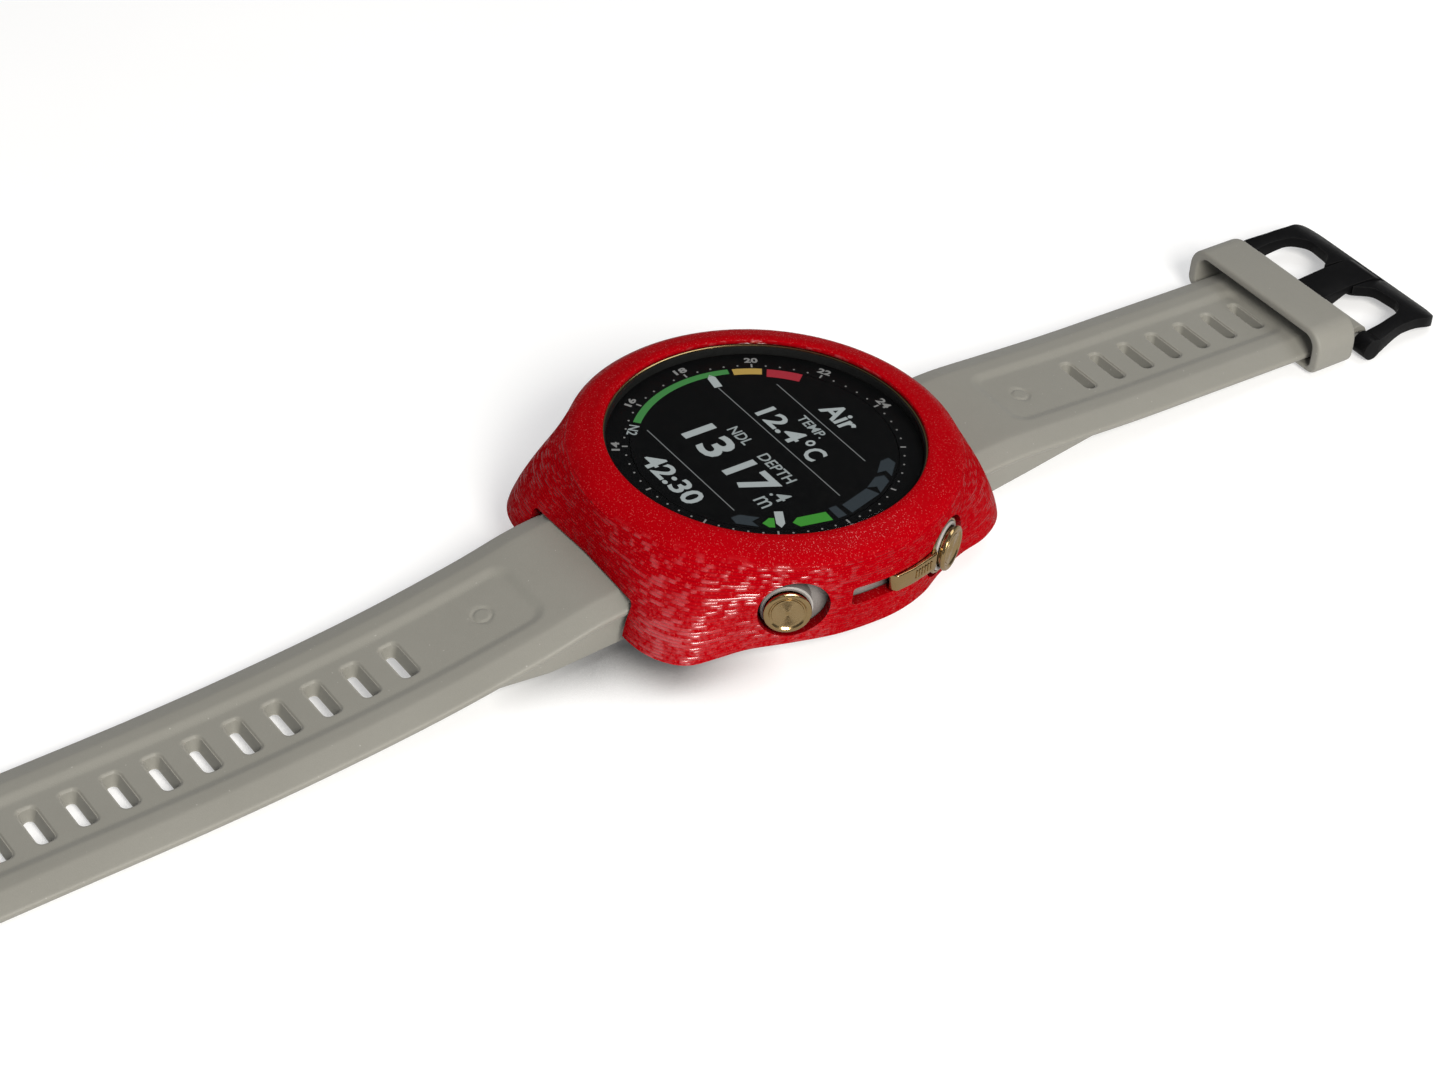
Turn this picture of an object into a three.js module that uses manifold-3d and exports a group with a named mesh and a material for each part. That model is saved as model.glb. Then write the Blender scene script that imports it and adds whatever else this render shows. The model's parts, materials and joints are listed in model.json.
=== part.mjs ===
// Wrist dive computer in a printed protective cover, with a two-part silicone strap.
// Millimetres. Origin: centre of the flat sensor window on the case back, where it meets the wrist.
// +Z points out of the display, +Y to 12 o'clock, +X to 3 o'clock.

import * as THREE from 'three';
import { mergeVertices } from 'three/addons/utils/BufferGeometryUtils.js';
import Module from 'manifold-3d';

const wasm = await Module();
wasm.setup();

// ---- driving dimensions -------------------------------------------------------------------

const CASE = { radius: 21.3, bore: 17.8, bottom: 1.0, top: 12.2, chamfer: 1.8 };
const LEDGE = { inner: 14.0, bottom: 2.5, top: 3.4 };
const DIAL_Z = 12.7;                     // plane of the display and of the minute track
const LENS = { radius: 18.2, bottom: 12.76, top: 14.2 };
const BEZEL = { inner: 18.5, outer: 21.0, bottom: 12.25, top: 14.0, chamfer: 0.45 };
const DISPLAY_RADIUS = 15.4;
const BACK = { radius: 17.6, bottom: 1.0, top: 2.4, windowHole: 9.1 };

const CONTACTS = { y: -12.2, pitch: 1.9, pinRadius: 0.36 };

const BAR = { y: 22.3, z: 3.9, radius: 0.75, reach: 11.6 };
const LUG = { inner: 10.2, outer: 13.6, nose: 1.7 };
const NOTCH = { halfWidth: 10.05, radius: 3.75, top: 7.45, wall: 18.75 };

const BUTTON_Z = 7.8;
const BUTTON = {
  capRadius: 2.8, face: 24.1, capBack: 23.6, plugRadius: 2.3, plugEnd: 22.4,
  stemRadius: 0.8, stemEnd: 16.75, retainer: 1.25, travel: 0.35,
  collarRadius: 2.95, collarEnd: 23.15, pocketRadius: 2.45, pocketFloor: 20.4,
  clipFrom: 17.05, clipTo: 17.4, innerWall: 16.5,
};
const SHAFT_SEAL = { from: 18.3, to: 19.05, groove: 1.55, ring: 1.2, cord: 0.3 };
const BUTTON_ANGLES = { start: 28.6, back: -28.6, light: 151.4, up: 180, down: 208.6 };

const COVER = {
  rim: 18.5, rimTop: 14.65, cavity: 21.5, shoulderZ: 13.0, baseZ: 3.05, baseSlope: 0.02,
  windowHalf: 10.0, lip: 6.95, holeHalfWidth: 4.1, holeHalfHeight: 3.6, holeShift: 2.2,
};

const STRAP = { halfWidth: 9.7, thickness: 2.0, bevelWidth: 2.2, bevelDrop: 0.5, wedgeHalf: 9.0 };
const PANEL = { halfWidth: 4.7, depth: 0.3, corner: 1.6 };
const LONG_STRAP = { tip: 126, panelStart: 32.3, firstSlot: 48.1, pitch: 4.82, slots: 14, slot: 2.3 };
const SHORT_STRAP = { panelStart: 34.5, firstSlot: 47.8, pitch: 4.59, slots: 7, slot: 1.7 };
const SLOT_LENGTH = 5.8;
const ROOT_RADIUS = 2.9;                 // the rounded end on the spring bar
const LONG_WEDGE = [[22.3, 6.5], [36, 3.6], [43, 1.2], [41, 0.7], [34, 0.05], [22.3, 1.0]];
const SHORT_WEDGE = [[22.3, 6.5], [36, 6.2], [46, 5.2], [44, 4.5], [33, 2.4], [26, 1.2], [22.3, 1.0]];
const LATCH_TILT = { long: -4, short: 9 };   // degrees about the spring bar, along the strap's underside

const BUCKLE_PIN = { y: 85.5, z: 4.6, radius: 0.75, knuckle: 1.45, strapEnd: 1.7 };
const BUCKLE = { halfWidth: 12.9, armWidth: 2.4, outer: 97.6, barWidth: 3.4, thickness: 1.4 };
const BUCKLE_TOP = [[84, 5.5], [88, 5.9], [93.5, 6.0], [95.6, 5.7], [97.8, 4.85]];
const TONGUE = { halfWidth: 2.4, groove: 2.7, gap: 2.9, rest: 5.1, tip: 96.5 };
const KEEPER = {
  centre: 79.8, length: 6.6, halfWidth: 12.15, sideWall: 1.4, wall: 1.1, floor: 0.62, bottom: 3.0, top: 9.05,
};

const SMOOTH = 32;                       // segments of a large circle
const MEDIUM = 14;                       // segments of a button or a buckle barrel
const SMALL = 10;                        // segments of a pin or a screw

// ---- colours ------------------------------------------------------------------------------

const finish = (color, roughness, metalness) => ({ color, roughness, metalness });
const FINISH = {
  redPrint: finish(0xb80a0e, 0.38, 0), greyPolymer: finish(0x9d9a94, 0.6, 0),
  silicone: finish(0x8f8d83, 0.62, 0), gold: finish(0xb39a6b, 0.25, 1),
  steel: finish(0xb8babd, 0.3, 1), blackMetal: finish(0x08080a, 0.45, 0.6),
  glass: finish(0x0a0c10, 0.05, 0), screen: finish(0x050506, 0.2, 0),
  blackRubber: finish(0x151515, 0.8, 0), board: finish(0x14532d, 0.5, 0),
  blackPlastic: finish(0x1b1b1d, 0.5, 0), foil: finish(0xa9adb0, 0.35, 0.8),
  copper: finish(0xb87333, 0.3, 1), amber: finish(0xb5651d, 0.6, 0),
};

// ---- solids -------------------------------------------------------------------------------

function welded(geometry) {
  const plain = geometry.index ? geometry.toNonIndexed() : geometry.clone();
  plain.deleteAttribute('normal');
  plain.deleteAttribute('uv');
  return mergeVertices(plain, 1e-4);
}

function toSolid(geometry) {
  const flat = welded(geometry);
  const vertProperties = new Float32Array(flat.attributes.position.array);
  const triVerts = new Uint32Array(flat.index.array);
  const make = () => new wasm.Manifold(new wasm.Mesh({ numProp: 3, vertProperties, triVerts }));
  const solid = make();
  if (solid.volume() > 0) return solid;
  for (let i = 0; i < triVerts.length; i += 3) {
    [triVerts[i + 1], triVerts[i + 2]] = [triVerts[i + 2], triVerts[i + 1]];
  }
  return make();
}

function toGeometry(solid) {
  const mesh = solid.getMesh();
  const geometry = new THREE.BufferGeometry();
  geometry.setAttribute('position', new THREE.BufferAttribute(mesh.vertProperties, 3));
  geometry.setIndex(new THREE.BufferAttribute(mesh.triVerts, 1));
  geometry.computeVertexNormals();
  return geometry;
}

const join = (...pieces) => toGeometry(pieces.map(toSolid).reduce((a, b) => a.add(b)));
const overlap = (a, b) => toGeometry(toSolid(a).intersect(toSolid(b)));

function cut(body, ...tools) {
  return toGeometry(tools.map(toSolid).reduce((rest, tool) => rest.subtract(tool), toSolid(body)));
}

// A body of revolution about Z from [radius, height] pairs. A profile that doesn't start and
// end on the axis closes on itself.
function turned(profile, segments = SMOOTH) {
  const points = profile.map(([r, z]) => new THREE.Vector2(r, z));
  const touchesAxis = profile[0][0] === 0 && profile.at(-1)[0] === 0;
  if (!touchesAxis) points.push(points[0].clone());
  return new THREE.LatheGeometry(points, segments).rotateX(Math.PI / 2);
}

const disc = (radius, low, high, segments) =>
  turned([[0, low], [radius, low], [radius, high], [0, high]], segments);

const ring = (inner, outer, low, high, segments) =>
  turned([[inner, low], [outer, low], [outer, high], [inner, high]], segments);

function box(lowX, highX, lowY, highY, lowZ, highZ) {
  const geometry = new THREE.BoxGeometry(highX - lowX, highY - lowY, highZ - lowZ);
  return geometry.translate((lowX + highX) / 2, (lowY + highY) / 2, (lowZ + highZ) / 2);
}

const polygon = (points) => new THREE.Shape(points.map(([a, b]) => new THREE.Vector2(a, b)));

function roundedRect(halfX, halfY, radius, centreX = 0, centreY = 0) {
  const shape = new THREE.Shape();
  const corners = [[1, -1, -90], [1, 1, 0], [-1, 1, 90], [-1, -1, 180]];
  for (const [sx, sy, from] of corners) {
    const start = THREE.MathUtils.degToRad(from);
    const x = centreX + sx * (halfX - radius);
    const y = centreY + sy * (halfY - radius);
    shape.absarc(x, y, radius, start, start + Math.PI / 2, false);
  }
  return shape;
}

// A plan shape (x, y) raised from low to high.
function raised(shape, low, high, curveSegments = 4) {
  const settings = { depth: high - low, bevelEnabled: false, curveSegments };
  return new THREE.ExtrudeGeometry(shape, settings).translate(0, 0, low);
}

// A side profile (y, z) drawn out along X, centred on x = 0. edge bevels its two ends.
function across(shape, halfWidth, edge = null) {
  const bevelWidth = edge ? edge.width : 0;
  const depth = 2 * (halfWidth - bevelWidth);
  const settings = {
    depth, bevelEnabled: edge !== null, bevelThickness: bevelWidth, curveSegments: 4,
    bevelSize: edge ? edge.drop : 0, bevelOffset: edge ? -edge.drop : 0, bevelSegments: 1,
  };
  const turn = new THREE.Matrix4().makeBasis(
    new THREE.Vector3(0, 1, 0), new THREE.Vector3(0, 0, 1), new THREE.Vector3(1, 0, 0));
  return new THREE.ExtrudeGeometry(shape, settings).translate(0, 0, -depth / 2).applyMatrix4(turn);
}

// A cylinder along X.
function rod(radius, lowX, highX, y, z, segments = SMALL) {
  return disc(radius, lowX, highX, segments).rotateY(Math.PI / 2).translate(0, y, z);
}

// Turns a solid of revolution about Z into one about X, for the radial pieces at the buttons.
const radial = (geometry) => geometry.rotateY(Math.PI / 2);

const aroundCase = (geometry, degrees) => geometry.rotateZ(THREE.MathUtils.degToRad(degrees));

// A copy at 6 o'clock of a piece modelled at 12 o'clock.
const atSix = (geometry) => geometry.clone().rotateZ(Math.PI);

// ---- assembly -----------------------------------------------------------------------------

const watch = new THREE.Group();

function add(name, geometry, look, parent = watch) {
  const settings = { color: look.color, roughness: look.roughness, metalness: look.metalness };
  const mesh = new THREE.Mesh(geometry, new THREE.MeshStandardMaterial(settings));
  mesh.name = name;
  parent.add(mesh);
  return mesh;
}

// ---- case ---------------------------------------------------------------------------------

function caseShell() {
  const { radius, bore, bottom, top, chamfer } = CASE;
  const recess = BACK.radius + 0.15;
  return turned([
    [recess, bottom], [radius - chamfer, bottom], [radius, bottom + chamfer + 0.6], [radius, top],
    [bore, top], [bore, LEDGE.top], [LEDGE.inner, LEDGE.top], [LEDGE.inner, LEDGE.bottom],
    [recess, LEDGE.bottom],
  ], 40);
}

function lugProfile(grow) {
  const shape = new THREE.Shape();
  shape.moveTo(14, 1.8 - grow);
  shape.lineTo(BAR.y, BAR.z - LUG.nose - grow);
  shape.absarc(BAR.y, BAR.z, LUG.nose + grow, -Math.PI / 2, Math.PI / 3, false);
  shape.lineTo(18.5, 9.6 + grow);
  shape.lineTo(14, 9.6 + grow);
  return shape;
}

function lugs(grow) {
  const halfLength = (LUG.outer - LUG.inner) / 2;
  const middle = (LUG.outer + LUG.inner) / 2;
  const lug = across(lugProfile(grow), halfLength + grow);
  const pair = [lug.clone().translate(middle, 0, 0), lug.clone().translate(-middle, 0, 0)];
  return [...pair, ...pair.map(atSix)];
}

// Room for the rounded strap end between two lugs.
function strapNotch() {
  const { halfWidth, radius, top, wall } = NOTCH;
  const bite = rod(radius, -halfWidth, halfWidth, BAR.y, BAR.z, MEDIUM);
  return join(bite, box(-halfWidth, halfWidth, wall, 30, -1, top));
}

function barHoles() {
  const hole = rod(BAR.radius + 0.05, -BAR.reach - 0.2, BAR.reach + 0.2, BAR.y, BAR.z);
  return [hole, atSix(hole)];
}

function buttonCollar(degrees) {
  const collar = radial(disc(BUTTON.collarRadius, BUTTON.pocketFloor - 1, BUTTON.collarEnd, MEDIUM));
  return aroundCase(collar.translate(0, 0, BUTTON_Z), degrees);
}

function buttonBore(degrees) {
  const { stemRadius, pocketRadius, pocketFloor, innerWall } = BUTTON;
  const { from, to, groove } = SHAFT_SEAL;
  const shaft = stemRadius + 0.1;
  const bore = radial(turned([
    [0, innerWall], [shaft, innerWall], [shaft, from], [groove, from], [groove, to], [shaft, to],
    [shaft, pocketFloor], [pocketRadius, pocketFloor], [pocketRadius, 25], [0, 25],
  ], SMALL));
  return aroundCase(bore.translate(0, 0, BUTTON_Z), degrees);
}

const SCREW = { pitchRadius: 16.35, head: 1.0, headDepth: 0.6, shank: 0.5, tip: 4.3 };
const SCREW_ANGLES = [45, 135, 225, 315];

function screwSpot(geometry, degrees) {
  return aroundCase(geometry.translate(SCREW.pitchRadius, 0, 0), degrees);
}

const SENSOR_PORT = { angle: 14, z: 7.6, radius: 0.7 };

function caseHousing() {
  const angles = Object.values(BUTTON_ANGLES);
  const bosses = SCREW_ANGLES.map((a) => screwSpot(disc(1.25, LEDGE.bottom + 0.2, 5, SMALL), a));
  const tapped = SCREW_ANGLES.map((a) => screwSpot(disc(SCREW.shank + 0.08, 2, 4.5, 8), a));
  const notch = strapNotch();
  const sealGroove = ring(14.6, 15.4, 2, 2.85);
  const port = radial(disc(SENSOR_PORT.radius, 16, 22, SMALL)).translate(0, 0, SENSOR_PORT.z);
  const body = join(cut(caseShell(), notch, atSix(notch)), ...bosses, ...angles.map(buttonCollar));
  const withLugs = join(body, ...lugs(0).map((lug) => cut(lug, disc(19.5, -1, 20))));
  return cut(withLugs, ...angles.map(buttonBore), ...tapped, ...barHoles(), sealGroove,
    aroundCase(port, SENSOR_PORT.angle));
}

function bezelRing() {
  const { inner, outer, bottom, top, chamfer } = BEZEL;
  return turned([
    [inner, bottom], [outer, bottom], [outer, top - chamfer], [outer - chamfer, top],
    [inner + chamfer, top], [inner, top - chamfer],
  ]);
}

function lensDisc() {
  const { radius, bottom, top } = LENS;
  return turned([[0, bottom], [radius, bottom], [radius, top - 0.25], [radius - 0.25, top], [0, top]]);
}

add('case_housing', caseHousing(), FINISH.greyPolymer);
add('bezel', bezelRing(), FINISH.gold);
add('lens', lensDisc(), FINISH.glass);
add('lens_gasket', ring(LENS.radius + 0.03, BEZEL.inner - 0.03, 12.8, 13.45), FINISH.blackRubber);

// ---- display stack ------------------------------------------------------------------------

function displayBracket() {
  const tray = turned([
    [0, 10.45], [17.4, 10.45], [17.4, 11.65], [14.6, 11.65], [14.6, 10.95], [0, 10.95],
  ]);
  return cut(tray, box(-3.4, 3.4, -18, -13.4, 10, 12));
}

function displayFlex() {
  const path = [[-13.8, 10.28], [-16.9, 10.28], [-16.9, 11.7], [-15.0, 11.7], [-15.0, 11.58],
    [-16.78, 11.58], [-16.78, 10.4], [-13.8, 10.4]];
  return across(polygon(path), 3.0);
}

add('chapter_ring', ring(DISPLAY_RADIUS + 0.1, BEZEL.inner - 0.1, 12.26, DIAL_Z), FINISH.screen);
add('display_panel', disc(DISPLAY_RADIUS, 11.75, DIAL_Z), FINISH.screen);
add('display_bracket', displayBracket(), FINISH.blackPlastic);
add('display_flex', displayFlex(), FINISH.amber);

// ---- electronics --------------------------------------------------------------------------

const BOARD = { radius: 16.5, bottom: 9.4, top: 10.2 };
const BATTERY = { x: -4.2, halfX: 9.5, halfY: 9, bottom: 4.2, top: 7.2 };
const MOTOR = { x: 11.2, y: -4.5, radius: 4.0, bottom: 4.15, top: 7.1 };
const ROTOR = { radius: 3.4, hub: 1.2, bore: 0.5, low: 5.1, high: 6.4 };

function sideSwitch(degrees) {
  return aroundCase(box(14.9, 16.2, -1.4, 1.4, 7.3, BOARD.bottom + 0.1), degrees);
}

function mainBoard() {
  const chips = [
    box(-4.5, 1.5, -3.5, 2.5, 8.7, BOARD.bottom + 0.1),
    box(2.6, 5.0, -3.0, 0.5, 8.8, BOARD.bottom + 0.1),
  ];
  const switches = Object.values(BUTTON_ANGLES).map(sideSwitch);
  return join(disc(BOARD.radius, BOARD.bottom, BOARD.top), ...chips, ...switches);
}

function boardShield() {
  const can = raised(roundedRect(6.4, 4.8, 0.8), 8.0, 9.3);
  return cut(can, raised(roundedRect(6.1, 4.5, 0.5), 8.3, 9.5));
}

add('main_board', mainBoard(), FINISH.board);
add('board_shield', boardShield(), FINISH.foil);
const cellPlan = roundedRect(BATTERY.halfX, BATTERY.halfY, 1.2, BATTERY.x, 0);
add('battery', raised(cellPlan, BATTERY.bottom, BATTERY.top), FINISH.foil);


function motorRotor() {
  const { radius, hub, bore, low, high } = ROTOR;
  const half = cut(disc(radius, low, high, MEDIUM), box(-4, 4, -4, 0, 4, 8));
  return cut(join(half, disc(hub, low, high, SMALL)), disc(bore, 4, 8, SMALL));
}

const motor = new THREE.Group();
motor.position.set(MOTOR.x, MOTOR.y, 0);
watch.add(motor);
const motorShaft = disc(ROTOR.bore - 0.1, MOTOR.bottom + 0.15, ROTOR.high + 0.2, SMALL);
const motorBase = join(disc(MOTOR.radius, MOTOR.bottom, MOTOR.bottom + 0.4, MEDIUM), motorShaft);
const motorCan = cut(disc(MOTOR.radius, MOTOR.bottom + 0.45, MOTOR.top, MEDIUM),
  disc(MOTOR.radius - 0.3, 4, MOTOR.top - 0.3, MEDIUM));
add('vibration_motor_base', motorBase, FINISH.steel, motor);
add('vibration_motor_can', motorCan, FINISH.steel, motor);
add('vibration_motor_rotor', motorRotor(), FINISH.copper, motor);

const sensor = new THREE.Group();
sensor.position.z = SENSOR_PORT.z;
sensor.rotation.z = THREE.MathUtils.degToRad(SENSOR_PORT.angle);
watch.add(sensor);
const sensorCan = turned([
  [0, 14.0], [1.5, 14.0], [1.5, 16.6], [1.1, 16.6], [1.1, 17.3], [0.5, 17.3], [0.5, 16.9], [0, 16.9],
], SMALL);
add('pressure_sensor', radial(sensorCan), FINISH.steel, sensor);

// ---- sensor guard beside the start button ---------------------------------------------------

function sensorGuard() {
  const bar = raised(polygon([
    [22.5, 1.3], [23.35, 1.9], [23.2, 4.2], [22.35, 8.2], [19.9, 9.6], [19.4, 8.95], [21.25, 3.2],
  ]), 7.0, 9.2);
  const collar = radial(disc(3.4, 21.6, 22.9, MEDIUM)).translate(0, 0, BUTTON_Z);
  const hole = radial(disc(BUTTON.collarRadius + 0.1, 18, 25, MEDIUM)).translate(0, 0, BUTTON_Z);
  const guard = join(bar, aroundCase(collar, BUTTON_ANGLES.start));
  return cut(guard, aroundCase(hole, BUTTON_ANGLES.start), disc(CASE.radius + 0.2, 0, 20, 40));
}

add('sensor_guard', sensorGuard(), FINISH.gold);

// ---- case back ----------------------------------------------------------------------------

function rearCover() {
  const { radius, bottom, top, windowHole } = BACK;
  const plate = turned([
    [windowHole, bottom], [radius - 0.4, bottom], [radius, bottom + 0.4], [radius, top], [windowHole, top],
  ]);
  const heads = SCREW_ANGLES.map((a) => screwSpot(disc(SCREW.head + 0.1, 0, 1.7, SMALL), a));
  const shanks = SCREW_ANGLES.map((a) => screwSpot(disc(SCREW.shank + 0.15, 0, 3, 8), a));
  const contacts = raised(roundedRect(4.2, 1.15, 0.5, 0, CONTACTS.y), 0, 3);
  return cut(plate, ...heads, ...shanks, contacts);
}

function rearScrew() {
  const top = BACK.bottom + 0.05;
  const body = turned([
    [0, top], [SCREW.head, top], [SCREW.head, top + SCREW.headDepth],
    [SCREW.shank, top + SCREW.headDepth], [SCREW.shank, SCREW.tip], [0, SCREW.tip],
  ], SMALL);
  return cut(body, box(-0.7, 0.7, -0.14, 0.14, 0, top + 0.3));
}

function opticalWindow() {
  return turned([
    [0, 0], [6.6, 0], [8.9, 0.7], [8.9, 2.48], [10.2, 2.48], [10.2, 3.0], [8.4, 3.0],
    [8.4, 1.6], [0, 1.6],
  ]);
}

function opticalBoard() {
  const parts = [box(-1.6, 1.6, -1.6, 1.6, 1.8, 3.4)];
  for (let i = 0; i < 4; i += 1) {
    parts.push(aroundCase(box(4.2, 6.4, -1.1, 1.1, 1.8, 3.4), 45 + 90 * i));
  }
  return join(disc(8.2, 3.2, 3.8), ...parts);
}

const pinX = (index) => (index - 2.5) * CONTACTS.pitch;

function contactBlock() {
  const { y, pinRadius } = CONTACTS;
  const holes = [1, 2, 3, 4].map((i) => disc(pinRadius + 0.08, 0, 6, SMALL).translate(pinX(i), y, 0));
  return cut(raised(roundedRect(4.0, 0.95, 0.4, 0, y), 1.15, 3.9), ...holes);
}

add('rear_cover', rearCover(), FINISH.steel);
add('rear_gasket', ring(14.7, 15.3, 2.42, 2.8), FINISH.blackRubber);
add('optical_window', opticalWindow(), FINISH.glass);
add('optical_board', opticalBoard(), FINISH.board);
add('contact_block', contactBlock(), FINISH.blackPlastic);
SCREW_ANGLES.forEach((degrees, index) => {
  const holder = new THREE.Group();
  holder.rotation.z = THREE.MathUtils.degToRad(degrees);
  watch.add(holder);
  add(`rear_screw_${index + 1}`, rearScrew(), FINISH.steel, holder).position.x = SCREW.pitchRadius;
});
for (let i = 1; i <= 4; i += 1) {
  const pin = add(`contact_pin_${i}`, disc(CONTACTS.pinRadius, 1.08, 4.1, SMALL), FINISH.gold);
  pin.position.set(pinX(i), CONTACTS.y, 0);
}

// ---- buttons ------------------------------------------------------------------------------

function buttonCap() {
  const { capRadius, face, capBack, plugRadius, plugEnd, stemRadius, stemEnd, retainer } = BUTTON;
  const { clipFrom, clipTo } = BUTTON;
  return radial(turned([
    [0, stemEnd], [stemRadius, stemEnd], [stemRadius, clipFrom], [retainer, clipFrom], [retainer, clipTo],
    [stemRadius, clipTo], [stemRadius, plugEnd], [plugRadius, plugEnd], [plugRadius, capBack],
    [capRadius, capBack], [capRadius, face - 0.25], [capRadius - 0.35, face], [0, face],
  ], MEDIUM));
}

class Coil extends THREE.Curve {
  constructor(radius, from, to, turns) {
    super();
    Object.assign(this, { radius, from, to, turns });
  }

  getPoint(t, target = new THREE.Vector3()) {
    const angle = 2 * Math.PI * this.turns * t;
    const along = this.from + (this.to - this.from) * t;
    return target.set(along, this.radius * Math.cos(angle), this.radius * Math.sin(angle));
  }
}

function buttonSpring() {
  const wire = new THREE.Shape().absarc(0, 0, 0.16, 0, 2 * Math.PI, false);
  const from = BUTTON.pocketFloor + 0.22;
  const to = BUTTON.plugEnd - BUTTON.travel - 0.25;
  const settings = { extrudePath: new Coil(1.6, from, to, 3.5), steps: 24, curveSegments: 2 };
  return new THREE.ExtrudeGeometry(wire, settings);
}

function buttonSeal() {
  const { from, to, ring: radius, cord } = SHAFT_SEAL;
  return radial(new THREE.TorusGeometry(radius, cord, 6, SMALL).translate(0, 0, (from + to) / 2));
}

for (const [name, degrees] of Object.entries(BUTTON_ANGLES)) {
  const station = new THREE.Group();
  station.position.z = BUTTON_Z;
  station.rotation.z = THREE.MathUtils.degToRad(degrees);
  watch.add(station);
  add(`button_${name}`, buttonCap(), FINISH.gold, station);
  add(`button_spring_${name}`, buttonSpring(), FINISH.steel, station);
  add(`button_seal_${name}`, buttonSeal(), FINISH.blackRubber, station);
}

// ---- protective cover -----------------------------------------------------------------------

// Half outlines of the cover's foot at x >= 0, from 6 o'clock and from 12 o'clock to 3 o'clock.
const FOOT_6 = [[0, -24.4], [5.5, -24.9], [10.5, -25.6], [14.2, -25.1], [16.9, -23.6], [18.2, -21.7],
  [18.7, -18.6], [19.2, -15.1], [20.8, -10.2], [22.2, -5.1], [22.7, 0]];
const FOOT_12 = [[0, 24.3], [5.5, 24.7], [10.5, 25.2], [13.6, 24.4], [15.8, 22.5], [17.4, 19.4],
  [18.2, 15.6], [19.7, 11.3], [21.5, 7.6], [22.5, 3.8], [22.7, 0]];

function footCurve() {
  const down = FOOT_6.map(([x, y]) => new THREE.Vector3(x, y, 0));
  const up = FOOT_12.map(([x, y]) => new THREE.Vector3(x, y, 0)).reverse().slice(1);
  const right = [...down, ...up];
  const left = right.slice(1, -1).reverse().map((p) => new THREE.Vector3(-p.x, p.y, 0));
  return new THREE.CatmullRomCurve3([...right, ...left], true, 'centripetal');
}

// The foot's distance from the watch axis in the direction of an angle, from a fine sampling.
function footRadiusLookup() {
  const turn = 2 * Math.PI;
  const polar = (p) => ({ a: Math.atan2(p.y, p.x), r: Math.hypot(p.x, p.y) });
  const samples = footCurve().getPoints(720).map(polar);
  samples.sort((p, q) => p.a - q.a);
  const first = samples[0];
  const last = samples.at(-1);
  const ringed = [{ a: last.a - turn, r: last.r }, ...samples, { a: first.a + turn, r: first.r }];
  return (angle) => {
    const next = ringed.findIndex((s) => s.a > angle);
    const low = ringed[next - 1];
    const high = ringed[next];
    return low.r + (high.r - low.r) * ((angle - low.a) / (high.a - low.a));
  };
}

// Round crown above the shoulder; below it the round side runs out into the foot's outline.
function coverOutside() {
  const { rim, rimTop, shoulderZ, baseZ, baseSlope } = COVER;
  const crown = [[rim - 4, rimTop], [rim, rimTop], [20.2, 14.45], [21.5, 14.05], [22.4, 13.5],
    [22.95, shoulderZ]];
  const side = [];
  const levels = 6;
  for (let i = 1; i <= levels; i += 1) {
    side.push([23.4, shoulderZ + (baseZ - shoulderZ) * (i / levels)]);
  }
  const profile = [[0, rimTop], ...crown, ...side, [0, baseZ]];
  const shell = turned(profile, 60);
  const footRadius = footRadiusLookup();
  const vertices = shell.attributes.position;
  for (let i = 0; i < vertices.count; i += 1) {
    const x = vertices.getX(i);
    const y = vertices.getY(i);
    const z = vertices.getZ(i);
    const radius = Math.hypot(x, y);
    if (z < shoulderZ - 0.01 && radius > 1) {
      const rise = Math.max(0, (z - baseZ) / (shoulderZ - baseZ));
      const waist = 22.95 + 0.5 * Math.sin(Math.PI * Math.min(1, (1 - rise) * 1.6) / 2);
      const spread = 1 - rise ** 1.35;
      const reach = waist + (footRadius(Math.atan2(y, x)) - waist) * spread;
      vertices.setXY(i, (x / radius) * reach, (y / radius) * reach);
      vertices.setZ(i, z + baseSlope * vertices.getY(i) * (1 - rise));
    }
  }
  return shell;
}

function coverCavity() {
  return turned([
    [0, -2], [COVER.cavity, -2], [COVER.cavity, 12.3], [BEZEL.outer + 0.15, 13.3],
    [BEZEL.outer + 0.15, BEZEL.top - BEZEL.chamfer + 0.1], [BEZEL.outer - 0.35, BEZEL.top + 0.15],
    [COVER.rim, BEZEL.top + 0.15], [COVER.rim, 16], [0, 16],
  ], 40);
}

function buttonHole(degrees, towards = 0) {
  const hole = radial(disc(1, 17, 27, MEDIUM));
  hole.scale(1, COVER.holeHalfWidth, COVER.holeHalfHeight);
  return aroundCase(hole.translate(0, 0, BUTTON_Z - 0.1), degrees + towards);
}

// The slot that shows the sensor guard, from just below 3 o'clock to the start button.
function guardSlot() {
  const from = THREE.MathUtils.degToRad(-9.6);
  const to = THREE.MathUtils.degToRad(BUTTON_ANGLES.start);
  const sector = new THREE.Shape();
  sector.absarc(0, 0, 27, from, to, false);
  sector.absarc(0, 0, 18, to, from, true);
  return raised(sector, 6.9, 9.35, 8);
}

function protectiveCover() {
  const { windowHalf, lip, holeShift } = COVER;
  const window = box(-windowHalf, windowHalf, 16, 32, -3, lip);
  const holes = [
    buttonHole(BUTTON_ANGLES.back, holeShift), buttonHole(BUTTON_ANGLES.start),
    buttonHole(BUTTON_ANGLES.light), buttonHole(BUTTON_ANGLES.up), buttonHole(BUTTON_ANGLES.down),
  ];
  return cut(coverOutside(), coverCavity(), window, atSix(window), ...lugs(0.2), ...holes, guardSlot());
}

add('protective_cover', protectiveCover(), FINISH.redPrint);

// ---- straps -------------------------------------------------------------------------------

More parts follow.
